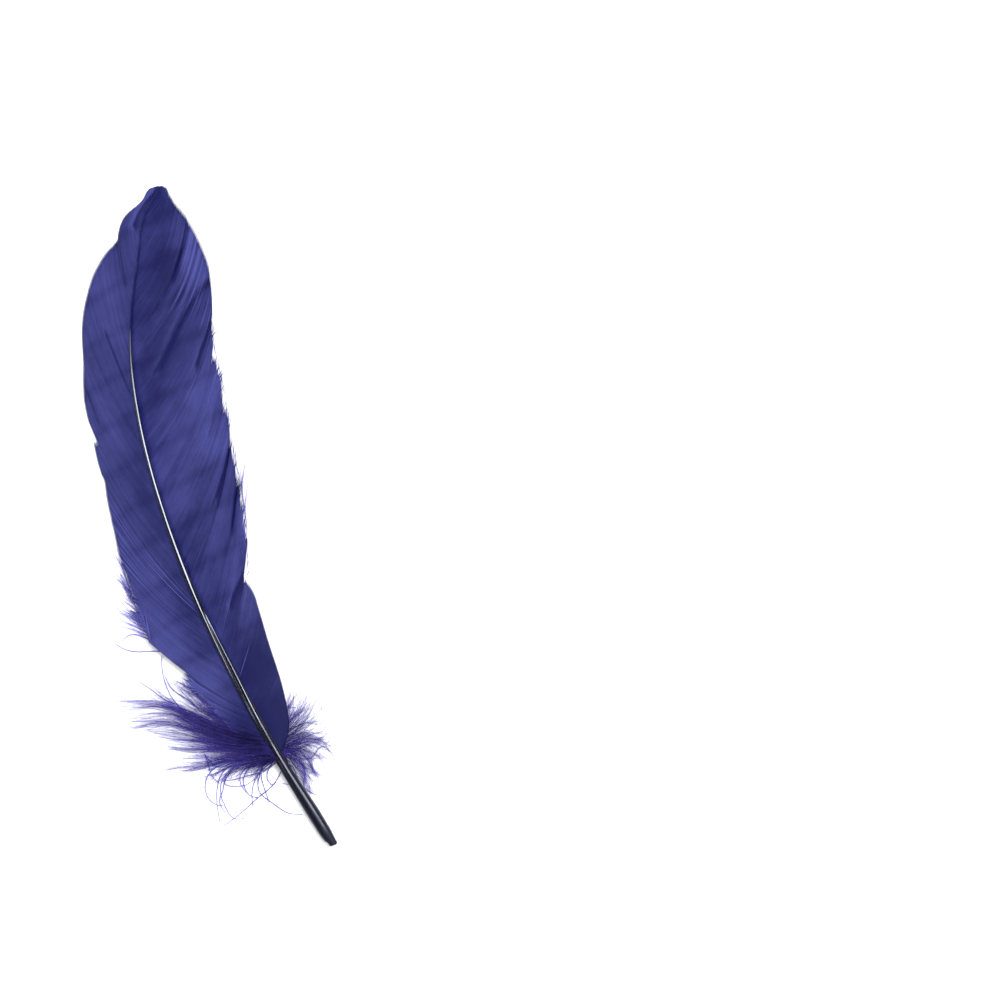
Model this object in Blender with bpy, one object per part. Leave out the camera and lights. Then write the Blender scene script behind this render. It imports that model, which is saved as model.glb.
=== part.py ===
"""A dyed goose quill feather, lying on a flat surface with its smooth, rounded side up.

The feather is built as five pieces: the shaft, which is the bare quill and the rib in one, the
narrow leading vane on its left, the broad trailing vane on its right, and a tuft of down on each
side, at the foot of the vanes. Vanes and tufts are laid out the way a feather grows: as a row of
barbs, each from a root on the shaft to a tip on the outline.
"""

import bpy
import numpy as np

MM = 0.001

# Plan of the feather, in millimetres. Y runs along the chord, from the cut end of the quill at
# y = -90 to the tip at y = 90. X runs across it, and Z is the height over the surface.
SHAFT_STATIONS = (
    # y, x, z of the centre line, radius
    (-90.0, 0.2, 1.55, 1.15),
    (-86.0, -1.1, 1.75, 1.66),
    (-80.0, -2.9, 1.95, 1.76),
    (-70.0, -6.0, 2.6, 1.46),
    (-60.0, -8.8, 3.4, 1.26),
    (-40.0, -13.6, 4.8, 1.12),
    (-20.0, -17.6, 5.8, 0.86),
    (0.0, -20.0, 6.3, 0.66),
    (20.0, -20.75, 6.4, 0.55),
    (40.0, -19.5, 6.0, 0.46),
    (60.0, -14.9, 4.8, 0.34),
    (75.0, -9.0, 3.3, 0.26),
    (84.0, -4.8, 2.1, 0.22),
    (89.0, 0.0, 1.1, 0.18),
)
SHAFT_STEP = 2.5
SHAFT_BEVEL_STEPS = 3

# Each section of a vane is a run of barbs that hold together. Its stations, from the quill end
# up, give the root's y on the shaft and the tip's x and y. Sections part at a split in the vane.
LEADING_SECTIONS = (
    ((-60.0, -13.0, -57.0), (-58.5, -18.5, -51.0), (-56.0, -23.0, -44.5), (-52.0, -26.5, -37.0)),
    (
        (-50.5, -26.3, -34.5),
        (-47.0, -29.0, -29.0),
        (-43.0, -34.4, -23.2),
        (-38.0, -35.0, -13.5),
        (-30.0, -35.0, -1.0),
        (-21.5, -34.4, 14.0),
        (-18.5, -33.6, 20.0),
    ),
    ((-18.0, -33.9, 20.8), (-12.0, -34.1, 26.5), (-9.5, -33.7, 29.7)),
    (
        (-9.0, -32.9, 30.2),
        (0.0, -33.4, 39.0),
        (8.0, -32.6, 45.2),
        (18.0, -30.6, 52.0),
        (27.0, -29.0, 59.8),
        (35.0, -26.3, 66.0),
        (44.0, -22.2, 72.5),
        (52.0, -18.0, 76.8),
        (60.0, -14.0, 79.2),
    ),
    (
        (61.0, -13.6, 79.6),
        (65.0, -12.7, 82.2),
        (70.0, -10.6, 84.8),
        (75.0, -7.6, 86.5),
        (79.0, -5.2, 87.4),
        (83.0, -3.7, 89.0),
        (86.0, -2.2, 90.0),
    ),
)
TRAILING_SECTIONS = (
    (
        (-62.0, -5.6, -61.6),
        (-59.5, -3.0, -56.5),
        (-57.0, -2.1, -50.0),
        (-50.0, -2.2, -37.5),
        (-45.0, -2.5, -29.5),
        (-41.0, -2.6, -23.0),
        (-36.0, -4.3, -15.8),
    ),
    ((-35.0, 0.4, -7.2), (-31.0, 0.0, -1.5), (-25.0, 0.9, 9.5)),
    ((-24.0, 1.0, 11.0), (-19.0, 1.2, 15.5), (-14.0, 1.5, 19.9)),
    ((-13.0, 1.5, 20.6), (-8.0, 2.4, 24.0), (0.0, 3.4, 29.4)),
    ((1.0, 2.1, 29.9), (4.0, 3.0, 34.0), (11.0, 3.6, 43.6)),
    (
        (11.5, 3.6, 45.0),
        (16.0, 4.7, 49.5),
        (27.0, 6.3, 57.0),
        (33.0, 7.3, 61.3),
        (39.0, 7.8, 66.0),
        (44.0, 7.3, 71.5),
        (50.0, 5.9, 79.0),
    ),
    (
        (51.0, 5.7, 79.6),
        (56.0, 4.7, 82.2),
        (62.0, 3.5, 84.6),
        (68.0, 2.8, 86.6),
        (80.0, 2.3, 89.0),
        (86.0, 1.4, 89.8),
    ),
)
LEADING_DOWN = (
    (
        (-68.0, -9.5, -76.0),
        (-67.0, -15.0, -77.5),
        (-66.0, -21.0, -78.0),
        (-65.5, -27.0, -76.0),
        (-65.0, -32.0, -70.5),
        (-64.0, -37.0, -64.0),
        (-63.0, -40.5, -58.5),
        (-62.0, -42.5, -52.5),
        (-61.0, -45.0, -46.5),
        (-60.0, -45.5, -40.0),
        (-58.5, -38.0, -37.0),
        (-57.0, -30.0, -37.5),
        (-55.0, -23.0, -42.0),
    ),
)
TRAILING_DOWN = (
    (
        (-68.0, -1.5, -77.0),
        (-67.0, 2.0, -75.0),
        (-66.0, 5.5, -70.0),
        (-65.0, 8.0, -64.0),
        (-64.0, 8.5, -58.5),
        (-62.5, 7.0, -53.0),
        (-60.5, 4.5, -48.5),
        (-58.0, 1.0, -47.0),
    ),
)

# Height of each vane's outer edge, against the y of the barb's root: the foot rides on the down,
# the leading edge droops to the surface, and the trailing edge lifts a little off it.
LEADING_EDGE_HEIGHTS = ((-62.0, 3.1), (-45.0, 3.0), (-20.0, 0.9), (0.0, 0.42), (60.0, 0.42), (88.0, 0.6))
TRAILING_EDGE_HEIGHTS = ((-62.0, 3.1), (-45.0, 3.0), (-10.0, 2.0), (30.0, 2.4), (60.0, 2.2), (88.0, 0.6))

VANE_THICKNESS = 0.4
VANE_ROOT_LIFT = 0.1
VANE_DROOP_POWER = 1.6
DOWN_THICKNESS = 2.1
SHAFT_GAP = 0.35
LEADING, TRAILING = -1, 1


def clear_scene():
    for obj in list(bpy.data.objects):
        bpy.data.objects.remove(obj)


def spline(knots, values, places):
    """A natural cubic spline through the values at the knots, read at the places."""
    steps = np.diff(knots)
    count = len(knots)
    system, right_side = np.eye(count), np.zeros(count)
    for i in range(1, count - 1):
        system[i, i - 1 : i + 2] = steps[i - 1], 2 * (steps[i - 1] + steps[i]), steps[i]
        rise, fall = (values[i + 1] - values[i]) / steps[i], (values[i] - values[i - 1]) / steps[i - 1]
        right_side[i] = 6 * (rise - fall)
    bend = np.linalg.solve(system, right_side)
    i = np.clip(np.searchsorted(knots, places) - 1, 0, count - 2)
    after, before = places - knots[i], knots[i + 1] - places
    return (
        (bend[i] * before**3 + bend[i + 1] * after**3) / (6 * steps[i])
        + (values[i] / steps[i] - bend[i] * steps[i] / 6) * before
        + (values[i + 1] / steps[i] - bend[i + 1] * steps[i] / 6) * after
    )


def shaft_at(places):
    """x and z of the shaft's centre line, and its radius, at the given y."""
    knots, across, height, radius = np.array(SHAFT_STATIONS).T
    places = np.asarray(places, float)
    return (
        spline(knots, across, places),
        spline(knots, height, places),
        np.interp(places, knots, radius),
    )


def material(name, colour, roughness, coat=0.0):
    made = bpy.data.materials.new(name)
    made.use_nodes = True
    shader = made.node_tree.nodes["Principled BSDF"]
    shader.inputs["Base Color"].default_value = (*colour, 1.0)
    shader.inputs["Roughness"].default_value = roughness
    shader.inputs["Metallic"].default_value = 0.0
    shader.inputs["Coat Weight"].default_value = coat
    return made


def add_object(name, data, finish):
    obj = bpy.data.objects.new(name, data)
    bpy.context.scene.collection.objects.link(obj)
    data.materials.append(finish)
    return obj


def build_shaft(finish):
    """The quill and rib: one round tapering rod along the bent centre line."""
    ends = SHAFT_STATIONS[0][0], SHAFT_STATIONS[-1][0]
    along = np.linspace(*ends, round((ends[1] - ends[0]) / SHAFT_STEP) + 1)
    across, height, radius = shaft_at(along)
    curve = bpy.data.curves.new("shaft", "CURVE")
    curve.dimensions = "3D"
    curve.bevel_depth = MM
    curve.bevel_resolution = SHAFT_BEVEL_STEPS
    curve.use_fill_caps = True
    line = curve.splines.new("POLY")
    line.points.add(len(along) - 1)
    for point, x, y, z, r in zip(line.points, across, along, height, radius):
        point.co = (x * MM, y * MM, z * MM, 1.0)
        point.radius = r
    return add_object("shaft", curve, finish)


def barb_rows(sections, spacing):
    """Root y and tip x, y of evenly spaced barbs, section by section."""
    rows = []
    for section in sections:
        roots, tip_x, tip_y = np.array(section).T
        places = np.linspace(roots[0], roots[-1], max(2, round((roots[-1] - roots[0]) / spacing) + 1))
        rows += list(zip(places, np.interp(places, roots, tip_x), np.interp(places, roots, tip_y)))
    return rows


def build_web(name, sections, side, spacing, steps, height_at, thickness, finish):
    """A sheet woven from the shaft's side to the barb tips, thickened downwards."""
    points, faces = [], []
    rows = barb_rows(sections, spacing)
    for root_y, tip_x, tip_y in rows:
        centre, shaft_height, radius = (float(value) for value in shaft_at(root_y))
        root_x = centre + side * (radius + SHAFT_GAP)
        for share in np.linspace(0.0, 1.0, steps + 1):
            x, y = root_x + share * (tip_x - root_x), root_y + share * (tip_y - root_y)
            points.append((x * MM, y * MM, height_at(root_y, shaft_height, share) * MM))
    width = steps + 1
    for row in range(len(rows) - 1):
        for step in range(steps):
            corner = row * width + step
            face = (corner, corner + 1, corner + 1 + width, corner + width)
            faces.append(face if side == TRAILING else face[::-1])
    mesh = bpy.data.meshes.new(name)
    mesh.from_pydata(points, [], faces)
    sheet = add_object(name, mesh, finish)
    thicken = sheet.modifiers.new("thickness", "SOLIDIFY")
    thicken.thickness = thickness * MM
    thicken.offset = -1.0
    return sheet


def build_vane(name, sections, side, edge_heights, finish):
    knots, heights = np.array(edge_heights).T

    def height_at(root_y, shaft_height, share):
        root = shaft_height + VANE_ROOT_LIFT
        edge = min(float(np.interp(root_y, knots, heights)), root)
        return root + (edge - root) * share**VANE_DROOP_POWER

    return build_web(name, sections, side, 3.0, 6, height_at, VANE_THICKNESS, finish)


def build_down(name, sections, side, finish):
    """The tuft of down: a flat pad on the surface, out to the tips of its barbs."""
    return build_web(name, sections, side, 0.5, 4, lambda *_: DOWN_THICKNESS, DOWN_THICKNESS, finish)


def rest_on_origin(objects):
    """Moves everything so that the box of the whole feather stands centred on the origin."""
    graph = bpy.context.evaluated_depsgraph_get()
    corners = []
    for obj in objects:
        mesh = obj.evaluated_get(graph).to_mesh()
        corners += [obj.matrix_world @ vertex.co for vertex in mesh.vertices]
    low, high = np.min(corners, axis=0), np.max(corners, axis=0)
    for obj in objects:
        obj.location = (-(low[0] + high[0]) / 2, -(low[1] + high[1]) / 2, -low[2])


def main():
    clear_scene()
    quill_black = material("quill_black", (0.012, 0.013, 0.022), 0.25, coat=0.6)
    vane_navy = material("vane_navy", (0.035, 0.033, 0.19), 0.5)
    down_violet = material("down_violet", (0.045, 0.03, 0.24), 0.7)
    feather = [
        build_shaft(quill_black),
        build_vane("leading_vane", LEADING_SECTIONS, LEADING, LEADING_EDGE_HEIGHTS, vane_navy),
        build_vane("trailing_vane", TRAILING_SECTIONS, TRAILING, TRAILING_EDGE_HEIGHTS, vane_navy),
        build_down("leading_down", LEADING_DOWN, LEADING, down_violet),
        build_down("trailing_down", TRAILING_DOWN, TRAILING, down_violet),
    ]
    rest_on_origin(feather)


main()
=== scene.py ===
"""The looks of a dyed goose quill feather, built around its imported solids.

The quill gets its crease, its flattened rib, the furrow below it and its cut, hollow end. Each
vane is rebuilt barb by barb, every barb a closed ridged strip that laps over its neighbour, and
the down is rebuilt as loose barbs with their fine barbules.
"""

import math
from collections import namedtuple

import bpy
import numpy as np
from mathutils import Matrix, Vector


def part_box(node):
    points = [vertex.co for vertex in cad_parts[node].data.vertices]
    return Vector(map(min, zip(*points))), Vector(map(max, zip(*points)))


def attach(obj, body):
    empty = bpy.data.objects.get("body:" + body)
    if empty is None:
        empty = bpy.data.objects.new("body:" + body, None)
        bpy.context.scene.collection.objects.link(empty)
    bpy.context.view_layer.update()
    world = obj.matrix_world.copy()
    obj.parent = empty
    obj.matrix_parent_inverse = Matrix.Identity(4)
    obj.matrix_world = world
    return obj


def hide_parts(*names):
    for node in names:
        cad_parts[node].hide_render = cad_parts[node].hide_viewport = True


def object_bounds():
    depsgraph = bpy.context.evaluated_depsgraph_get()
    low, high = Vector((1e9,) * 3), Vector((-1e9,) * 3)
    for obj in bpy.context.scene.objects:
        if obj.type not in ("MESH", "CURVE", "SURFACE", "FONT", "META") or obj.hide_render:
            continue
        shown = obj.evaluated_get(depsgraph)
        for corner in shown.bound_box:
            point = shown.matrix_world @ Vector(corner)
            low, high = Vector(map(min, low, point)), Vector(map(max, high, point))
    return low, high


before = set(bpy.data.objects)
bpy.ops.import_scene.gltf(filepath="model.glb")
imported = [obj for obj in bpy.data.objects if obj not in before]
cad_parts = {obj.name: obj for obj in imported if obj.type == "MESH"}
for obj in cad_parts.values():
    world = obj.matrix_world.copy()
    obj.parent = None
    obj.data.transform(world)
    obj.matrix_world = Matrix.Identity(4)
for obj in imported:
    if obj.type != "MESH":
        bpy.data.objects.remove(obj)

CAD_BOX = [list(corner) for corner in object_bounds()]
MM = 0.001
LEFT, RIGHT = -1, 1
rng = np.random.default_rng(2024)

# The plan of the feather, in millimetres: Y along the chord from the cut end of the quill to the
# tip, X across it, Z up from the surface. The lowest corner of the leading down ties it to the frame.
DOWN_CORNER = (-45.5, -78.0, 0.0)
PLAN_ORIGIN = np.array(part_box("leading_down")[0]) - MM * np.array(DOWN_CORNER)

# The quill's centre line and radius, as rows of y, x, z and radius.
SHAFT_STATIONS = (
    (-90.0, 0.2, 1.55, 1.15), (-86.0, -1.1, 1.75, 1.66), (-80.0, -2.9, 1.95, 1.76),
    (-70.0, -6.0, 2.6, 1.46), (-60.0, -8.8, 3.4, 1.26), (-40.0, -13.6, 4.8, 1.12),
    (-20.0, -17.6, 5.8, 0.86), (0.0, -20.0, 6.3, 0.66), (20.0, -20.75, 6.4, 0.55),
    (40.0, -19.5, 6.0, 0.46), (60.0, -14.9, 4.8, 0.34), (75.0, -9.0, 3.3, 0.26),
    (84.0, -4.8, 2.1, 0.22), (89.0, 0.0, 1.1, 0.18),
)

# A section of a vane is a run of barbs that hold together; sections part at the splits.
# tips: root y on the shaft, then x and y of the barb's tip, from the quill end up.
# bow: degrees by which a barb leaves the shaft wider, and ends steeper, than its straight line.
# lift: how far the tips of the section's first and last barbs ride over (+) or under (-).
#   Barbs that ride over are painted lighter as a painted highlight, and those tucked under are painted
#   darker as painted shade.
# fray: how unevenly long its barbs are, in millimetres.
# dye: how much lighter (+) or darker (-) the whole section is painted; on the lowest trailing section,
# the only one that uses it, this is painted shade.
Section = namedtuple("Section", "tips bow lift fray dye", defaults=(0.0,))

LEADING_SECTIONS = (
    Section(
        (
            (-60.5, -12.5, -57.8), (-59.5, -15.0, -55.9), (-58.5, -18.0, -53.3),
            (-57.0, -20.3, -49.5), (-55.0, -22.3, -45.0), (-53.0, -24.0, -41.6),
        ),
        (4, 4), (0.0, 0.0), 0.3,
    ),
    Section(
        ((-52.6, -25.3, -40.2), (-52.0, -26.7, -37.6), (-51.2, -26.3, -35.4)),
        (5, 5), (0.3, 0.2), 0.3,
    ),
    Section(
        (
            (-50.5, -36.0, -20.0), (-46.0, -35.7, -17.2), (-42.0, -34.9, -14.0),
            (-38.0, -34.6, -10.3), (-34.0, -34.9, -5.5), (-30.0, -35.0, -0.5), (-25.5, -34.6, 7.0),
            (-21.5, -34.3, 14.0), (-18.7, -33.5, 20.2),
        ),
        (9, 9), (0.4, -0.2), 0.06,
    ),
    Section(
        ((-18.3, -33.9, 20.9), (-15.5, -34.0, 24.0), (-12.0, -33.9, 27.5), (-9.5, -33.7, 29.6)),
        (9, 9), (0.2, -0.2), 0.04,
    ),
    Section(
        (
            (-9.0, -32.9, 30.1), (-7.0, -33.3, 33.0), (-3.0, -33.6, 36.5), (0.0, -33.4, 40.0),
            (4.0, -32.8, 43.5), (8.0, -32.0, 47.0), (12.0, -31.0, 50.5), (18.0, -29.8, 56.0),
            (23.0, -28.6, 60.5), (27.0, -27.0, 64.5), (32.5, -24.6, 69.0),
        ),
        (8, 7), (0.2, -0.1), 0.03,
    ),
    Section(
        (
            (33.0, -24.4, 69.3), (37.0, -22.4, 72.3), (41.0, -20.4, 74.5), (46.0, -18.0, 76.7),
            (53.0, -15.7, 78.1), (60.0, -14.0, 79.2),
        ),
        (6, 6), (0.15, -0.3), 0.03,
    ),
    Section(
        (
            (60.6, -13.7, 79.5), (63.0, -13.2, 80.8), (66.0, -12.1, 82.9), (69.0, -10.6, 84.7),
            (72.0, -8.9, 85.8), (76.0, -6.6, 86.8), (80.0, -5.0, 87.6), (83.0, -3.9, 88.6),
            (86.0, -2.4, 90.0), (88.0, -0.9, 90.2), (88.9, -0.1, 90.2),
        ),
        (6, 5), (0.45, 0.0), 0.05,
    ),
)
TRAILING_SECTIONS = (
    # The lowest section is painted darker all over: painted shade.
    Section(
        (
            (-62.0, -5.8, -61.8), (-60.5, -4.6, -59.8), (-59.0, -3.4, -57.5), (-57.5, -2.6, -54.5),
            (-56.0, -2.15, -51.0), (-53.5, -1.9, -46.0), (-51.0, -2.0, -41.0), (-48.5, -2.3, -36.0),
            (-45.5, -2.5, -31.0), (-42.5, -2.6, -26.0), (-40.0, -2.7, -22.0), (-37.5, -3.2, -18.5),
            (-35.8, -4.4, -15.6),
        ),
        (4, 3), (0.0, 0.5), 0.03, -0.22,
    ),
    Section(
        (
            (-35.0, -0.9, -5.5), (-32.5, -0.4, -1.5), (-30.0, 0.0, 2.0), (-27.5, 0.5, 6.0),
            (-25.0, 1.0, 9.8),
        ),
        (5, 6), (-0.9, 0.4), 0.25,
    ),
    Section(
        ((-24.3, 0.5, 10.5), (-21.0, 1.1, 13.5), (-18.0, 1.3, 16.3), (-14.5, 1.5, 19.9)),
        (5, 8), (-0.7, 0.4), 0.15,
    ),
    Section(
        ((-13.6, 1.3, 20.5), (-11.5, 1.9, 22.2), (-8.5, 2.5, 24.3), (-5.0, 3.0, 26.5), (-1.5, 3.1, 29.3)),
        (6, 10), (-0.6, 0.2), 0.15,
    ),
    Section(
        ((-1.0, 2.1, 29.8), (1.0, 2.6, 31.8), (4.0, 3.2, 34.6), (8.0, 3.5, 38.5), (11.5, 3.6, 42.8)),
        (8, 12), (-0.2, 0.2), 0.14,
    ),
    Section(
        ((12.0, 3.3, 44.9), (14.5, 4.2, 47.5), (17.5, 4.8, 50.2), (19.5, 5.1, 51.8)),
        (9, 14), (-0.2, 0.4), 0.14,
    ),
    Section(
        (
            (20.0, 5.0, 52.3), (22.0, 5.6, 54.6), (26.0, 6.4, 58.0), (30.0, 7.1, 61.3),
            (34.0, 7.6, 64.5), (39.0, 7.8, 68.3), (43.0, 7.4, 72.0), (47.0, 6.7, 76.0),
            (50.5, 5.8, 79.3),
        ),
        (12, 18), (-0.5, 0.45), 0.04,
    ),
    Section(
        (
            (51.2, 5.6, 79.9), (54.0, 5.0, 81.7), (58.0, 4.1, 83.6), (62.0, 3.4, 85.1),
            (67.0, 2.8, 86.9), (73.0, 2.4, 88.3), (80.0, 2.2, 89.2), (86.0, 1.6, 89.8),
            (88.0, 1.0, 90.1), (88.9, 0.3, 90.2),
        ),
        (14, 18), (-0.7, 0.0), 0.09,
    ),
)

# Height of each vane's outer edge, against the y of the barb's root.
LEADING_EDGE_HEIGHTS = ((-62.0, 3.0), (-52.0, 2.6), (-45.0, 1.6), (-20.0, 0.5), (60.0, 0.3), (88.0, 0.5))
TRAILING_EDGE_HEIGHTS = ((-62.0, 2.9), (-45.0, 2.8), (-10.0, 1.9), (30.0, 2.2), (60.0, 2.0), (88.0, 0.6))

# Folds that run across the barbs: depth, width, how much darker the fold is painted (painted shade), how
# much lighter the lip on its -X side is painted (painted highlight), and its route, in millimetres. A
# soft painted shadow lies on its +X side.
FOLDS = (
    (0.3, 0.42, 0.75, 0.0, ((6.0, 80.2), (4.7, 76.8), (2.8, 73.4), (0.3, 69.2), (-2.2, 65.2))),
    (
        0.6, 0.8, 0.55, 0.14,
        ((7.3, 63.2), (4.0, 60.8), (0.0, 57.2), (-4.8, 52.0), (-9.0, 46.8), (-12.2, 43.3)),
    ),
    (0.3, 0.45, 0.7, 0.12, ((5.0, 52.9), (2.2, 48.6), (-0.6, 44.4), (-2.4, 41.0))),
    (0.4, 0.55, 0.95, 0.15, ((1.3, 20.0), (-1.6, 14.0), (-3.8, 10.4), (-6.2, 6.4))),
    (0.3, 0.5, 0.75, 0.12, ((0.9, 9.4), (-1.8, 4.0), (-4.6, -3.6))),
    (0.35, 0.55, 0.8, 0.12, ((-2.3, -11.8), (-6.0, -16.6), (-9.8, -21.8))),
    (0.2, 0.8, 0.25, 0.05, ((3.0, 36.0), (0.0, 30.0), (-3.0, 24.0))),
    (0.3, 0.7, 0.6, 0.3, ((-8.6, 81.6), (-7.0, 84.0), (-4.4, 86.4), (-1.0, 88.9))),
    (0.2, 0.3, 0.5, 0.0, ((-23.1, 55.8), (-22.4, 50.0), (-21.6, 44.0), (-20.7, 38.5))),
    (0.15, 0.3, 0.4, 0.0, ((-32.2, 45.0), (-31.8, 40.0), (-31.0, 33.0))),
    (0.2, 0.36, 0.4, 0.0, ((-13.2, 80.8), (-14.2, 74.0), (-14.8, 67.0))),
)
# How far a fold's painted dark line reaches on its -X side and its painted shadow on its +X side, in
# widths. The middle of the painted lip highlight lies as far out on the -X side as the shadow reaches on
# the other.
FOLD_SHARP, FOLD_SOFT = 0.45, 1.3
# Patches where the barbs are painted lighter or darker, partly for uneven dye and partly as painted sheen
# and shade: middle, half width and half length of the patch, how much lighter it is all over, and how
# much its single barbs stand out as painted glints.
PATCHES = {
    LEFT: (
        (-33.8, 2.0, 2.4, 16.0, 0.14, 0.5),
        (-30.0, -8.0, 5.0, 9.0, 0.28, 0.16),
        (-27.0, -25.0, 6.0, 9.0, 0.4, 0.12),
        (-21.0, -42.0, 4.5, 8.0, 0.3, 0.2),
        (-23.0, 15.0, 3.4, 14.0, -0.26, 0.0),
        (-20.4, -20.0, 3.2, 14.0, -0.2, 0.1),
        (-14.5, -54.0, 4.5, 9.0, -0.4, 0.0),
        (-11.0, 80.0, 4.5, 6.0, -0.1, 0.1),
        (-24.0, 62.0, 7.0, 16.0, 0.0, 0.1),
        (-18.0, 63.0, 4.0, 10.0, 0.12, 0.0),
    ),
    RIGHT: (
        (3.6, 70.0, 3.2, 8.0, 0.24, 0.6),
        (6.2, 76.0, 2.4, 5.0, 0.05, 0.5),
        (-3.0, 70.0, 4.5, 10.0, -0.32, 0.05),
        (-9.0, 57.0, 5.0, 9.0, -0.28, 0.0),
        (-1.0, 86.0, 3.0, 4.0, -0.2, 0.2),
        (-1.0, 60.5, 4.0, 3.0, -0.12, 0.5),
        (-13.0, 48.0, 3.5, 8.0, -0.22, 0.0),
        (-15.6, 38.0, 3.0, 6.0, -0.15, 0.0),
        (4.2, 54.0, 3.0, 5.0, 0.05, 0.8),
        (2.4, 38.0, 1.8, 8.0, 0.2, 0.7),
        (-2.5, 34.0, 5.0, 7.0, 0.2, 0.2),
        (-2.0, 21.0, 5.0, 7.0, 0.28, 0.3),
        (-14.0, 26.0, 5.0, 10.0, 0.12, 0.1),
        (-15.0, -6.0, 3.5, 9.0, -0.22, 0.1),
        (-12.0, -24.0, 3.0, 7.0, -0.22, 0.1),
        (-8.0, 14.0, 4.0, 5.0, -0.12, 0.1),
        (-8.4, -20.0, 4.0, 7.0, 0.05, 0.15),
        (-7.0, -38.0, 5.0, 8.0, -0.34, 0.0),
        (-7.0, -55.0, 5.0, 7.0, -0.6, 0.0),
    ),
}
# How much of a barb's outer length hangs loose, as a share, against the y of its root, and how much
# lighter the loose end is painted, for the light that shines through it.
LOOSE = {
    LEFT: (
        (-53.0, 0.08), (-52.0, 0.12), (-50.5, 0.16), (-47.0, 0.13), (-42.0, 0.1), (-36.0, 0.06),
        (-28.0, 0.0),
    ),
    RIGHT: (
        (-36.0, 0.0), (-33.0, 0.1), (-25.0, 0.03), (-12.0, 0.02), (4.0, 0.06), (19.0, 0.05),
        (22.0, 0.0),
    ),
}
LOOSE_LIGHT = 0.8
# From this share up a loose end is painted lighter, for the light that shines through it; from the next
# it thins like a hair; from the last it has a fringe of its own barbules, over its outer samples.
LOOSE_LIT, LOOSE_HAIR, LOOSE_FRINGED = 0.05, 0.1, 0.07
FRINGE_SAMPLES = 6
# Single barbs that have sprung up out of the vane: y of the root, and how far up. They are painted
# lighter, a painted highlight.
SPRUNG = {LEFT: ((-22.6, 0.4), (-20.4, 0.25), (-18.6, 0.4)), RIGHT: ((-41.0, 0.2),)}
SPRUNG_LIGHT = 0.7

# The barbs: their spacing, how wide they are against it, and their other measures, in millimetres.
BARB_PITCH = {LEFT: 0.46, RIGHT: 0.38}
BARB_SAMPLES = 20
BARB_HALF_HEIGHT = 0.06
BARB_LAP = 1.4
BARB_HALF_WIDTH_LIMITS = (0.05, 0.45)
HAIR_HALF_WIDTH = 0.02
# The share of its length over which an ordinary barb narrows to its tip.
SHORTEST_TAPER = 0.05
# The barbs are spaced by the way along the rib and the way along the margin, in these parts.
RIB_PART, MARGIN_PART = 0.5, 0.4
# How a barb differs from the next: in length and height in runs of barbs, and in height singly.
LENGTH_WANDER, HEIGHT_WANDER, HEIGHT_JITTER = 0.12, 0.04, 0.008
# How a loose end swings, in radians: in runs, singly, and on the whole.
SPLAY_WANDER, SPLAY_JITTER, SPLAY_LEAN = 0.3, 0.2, -0.15
# How a barb's tone differs: in long runs, in short runs, and singly.
TONE_DRIFT, TONE_WANDER, TONE_JITTER = 0.16, 0.1, 0.12
# How far a barb keeps its heading at either end, as a share of its length.
BARB_HANDLE = 0.36
# The vane domes: its height falls from rib to margin as the distance to this power.
VANE_DROOP_POWER = 1.6
# The lift at a split dies away over this many millimetres of root, and grows along the barb as the
# distance to this power. A lifted barb is painted this much lighter for each millimetre, a painted
# highlight, and a tucked one this much darker, painted shade.
LIFT_REACH = 3.0
LIFT_POWER = 1.8
LIFT_LIGHT = 0.6
# No barb dips below this height, or rises further than this over its root.
LOWEST, HIGHEST_OVER_ROOT = 0.08, 0.4
# Near the tip the barbs close over the rib: how far, against the y of the root, and how much darker they
# are painted there, as painted shade along the rib, over how many millimetres.
COVER = ((44.0, 0.0), (56.0, 1.0))
COVER_SHADE, COVER_REACH = 0.3, 0.8
# Where a barb leaves the rib, in radii out and up from its centre line, and what full cover adds.
ROOT_OUT, ROOT_OUT_COVERED = 0.6, -0.62
ROOT_UP, ROOT_UP_COVERED = 0.15, 0.95
# Across a barb, from its edge towards the quill to its edge towards the tip, as (across, up).
BARB_PROFILE = np.array(
    ((-1.0, 0.3), (0.0, -0.6), (1.0, -0.35), (0.65, 0.45), (0.15, 1.0), (-0.45, 0.95))
)


# ---------------------------------------------------------------- curves and meshes


def spline(knots, values, places):
    """A natural cubic spline through the values at the knots, read at the places."""
    knots, values = np.asarray(knots, float), np.asarray(values, float)
    steps = np.diff(knots)
    count = len(knots)
    system, right_side = np.eye(count), np.zeros(count)
    for i in range(1, count - 1):
        system[i, i - 1 : i + 2] = steps[i - 1], 2 * (steps[i - 1] + steps[i]), steps[i]
        rise, fall = (values[i + 1] - values[i]) / steps[i], (values[i] - values[i - 1]) / steps[i - 1]
        right_side[i] = 6 * (rise - fall)
    bend = np.linalg.solve(system, right_side)
    i = np.clip(np.searchsorted(knots, places) - 1, 0, count - 2)
    after, before = places - knots[i], knots[i + 1] - places
    return (
        (bend[i] * before**3 + bend[i + 1] * after**3) / (6 * steps[i])
        + (values[i] / steps[i] - bend[i] * steps[i] / 6) * before
        + (values[i + 1] / steps[i] - bend[i + 1] * steps[i] / 6) * after
    )


def table_at(table, places):
    """The second column of a table, read at places along its first."""
    return np.interp(places, *np.array(table).T)


def distances_along(line):
    """How far along a line each of its points is."""
    steps = np.linalg.norm(np.diff(line[:, :3], axis=0), axis=1)
    return np.concatenate(([0.0], np.cumsum(steps)))


def smooth_path(points, count):
    """Evenly spaced points on a smooth curve through the given ones."""
    points = np.asarray(points, float)
    along = distances_along(points)
    places = np.linspace(0.0, along[-1], count)
    return np.stack([spline(along, column, places) for column in points.T], axis=1)


def unit(vectors):
    """The vectors at a length of one."""
    return vectors / np.maximum(np.linalg.norm(vectors, axis=-1, keepdims=True), 1e-12)


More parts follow.
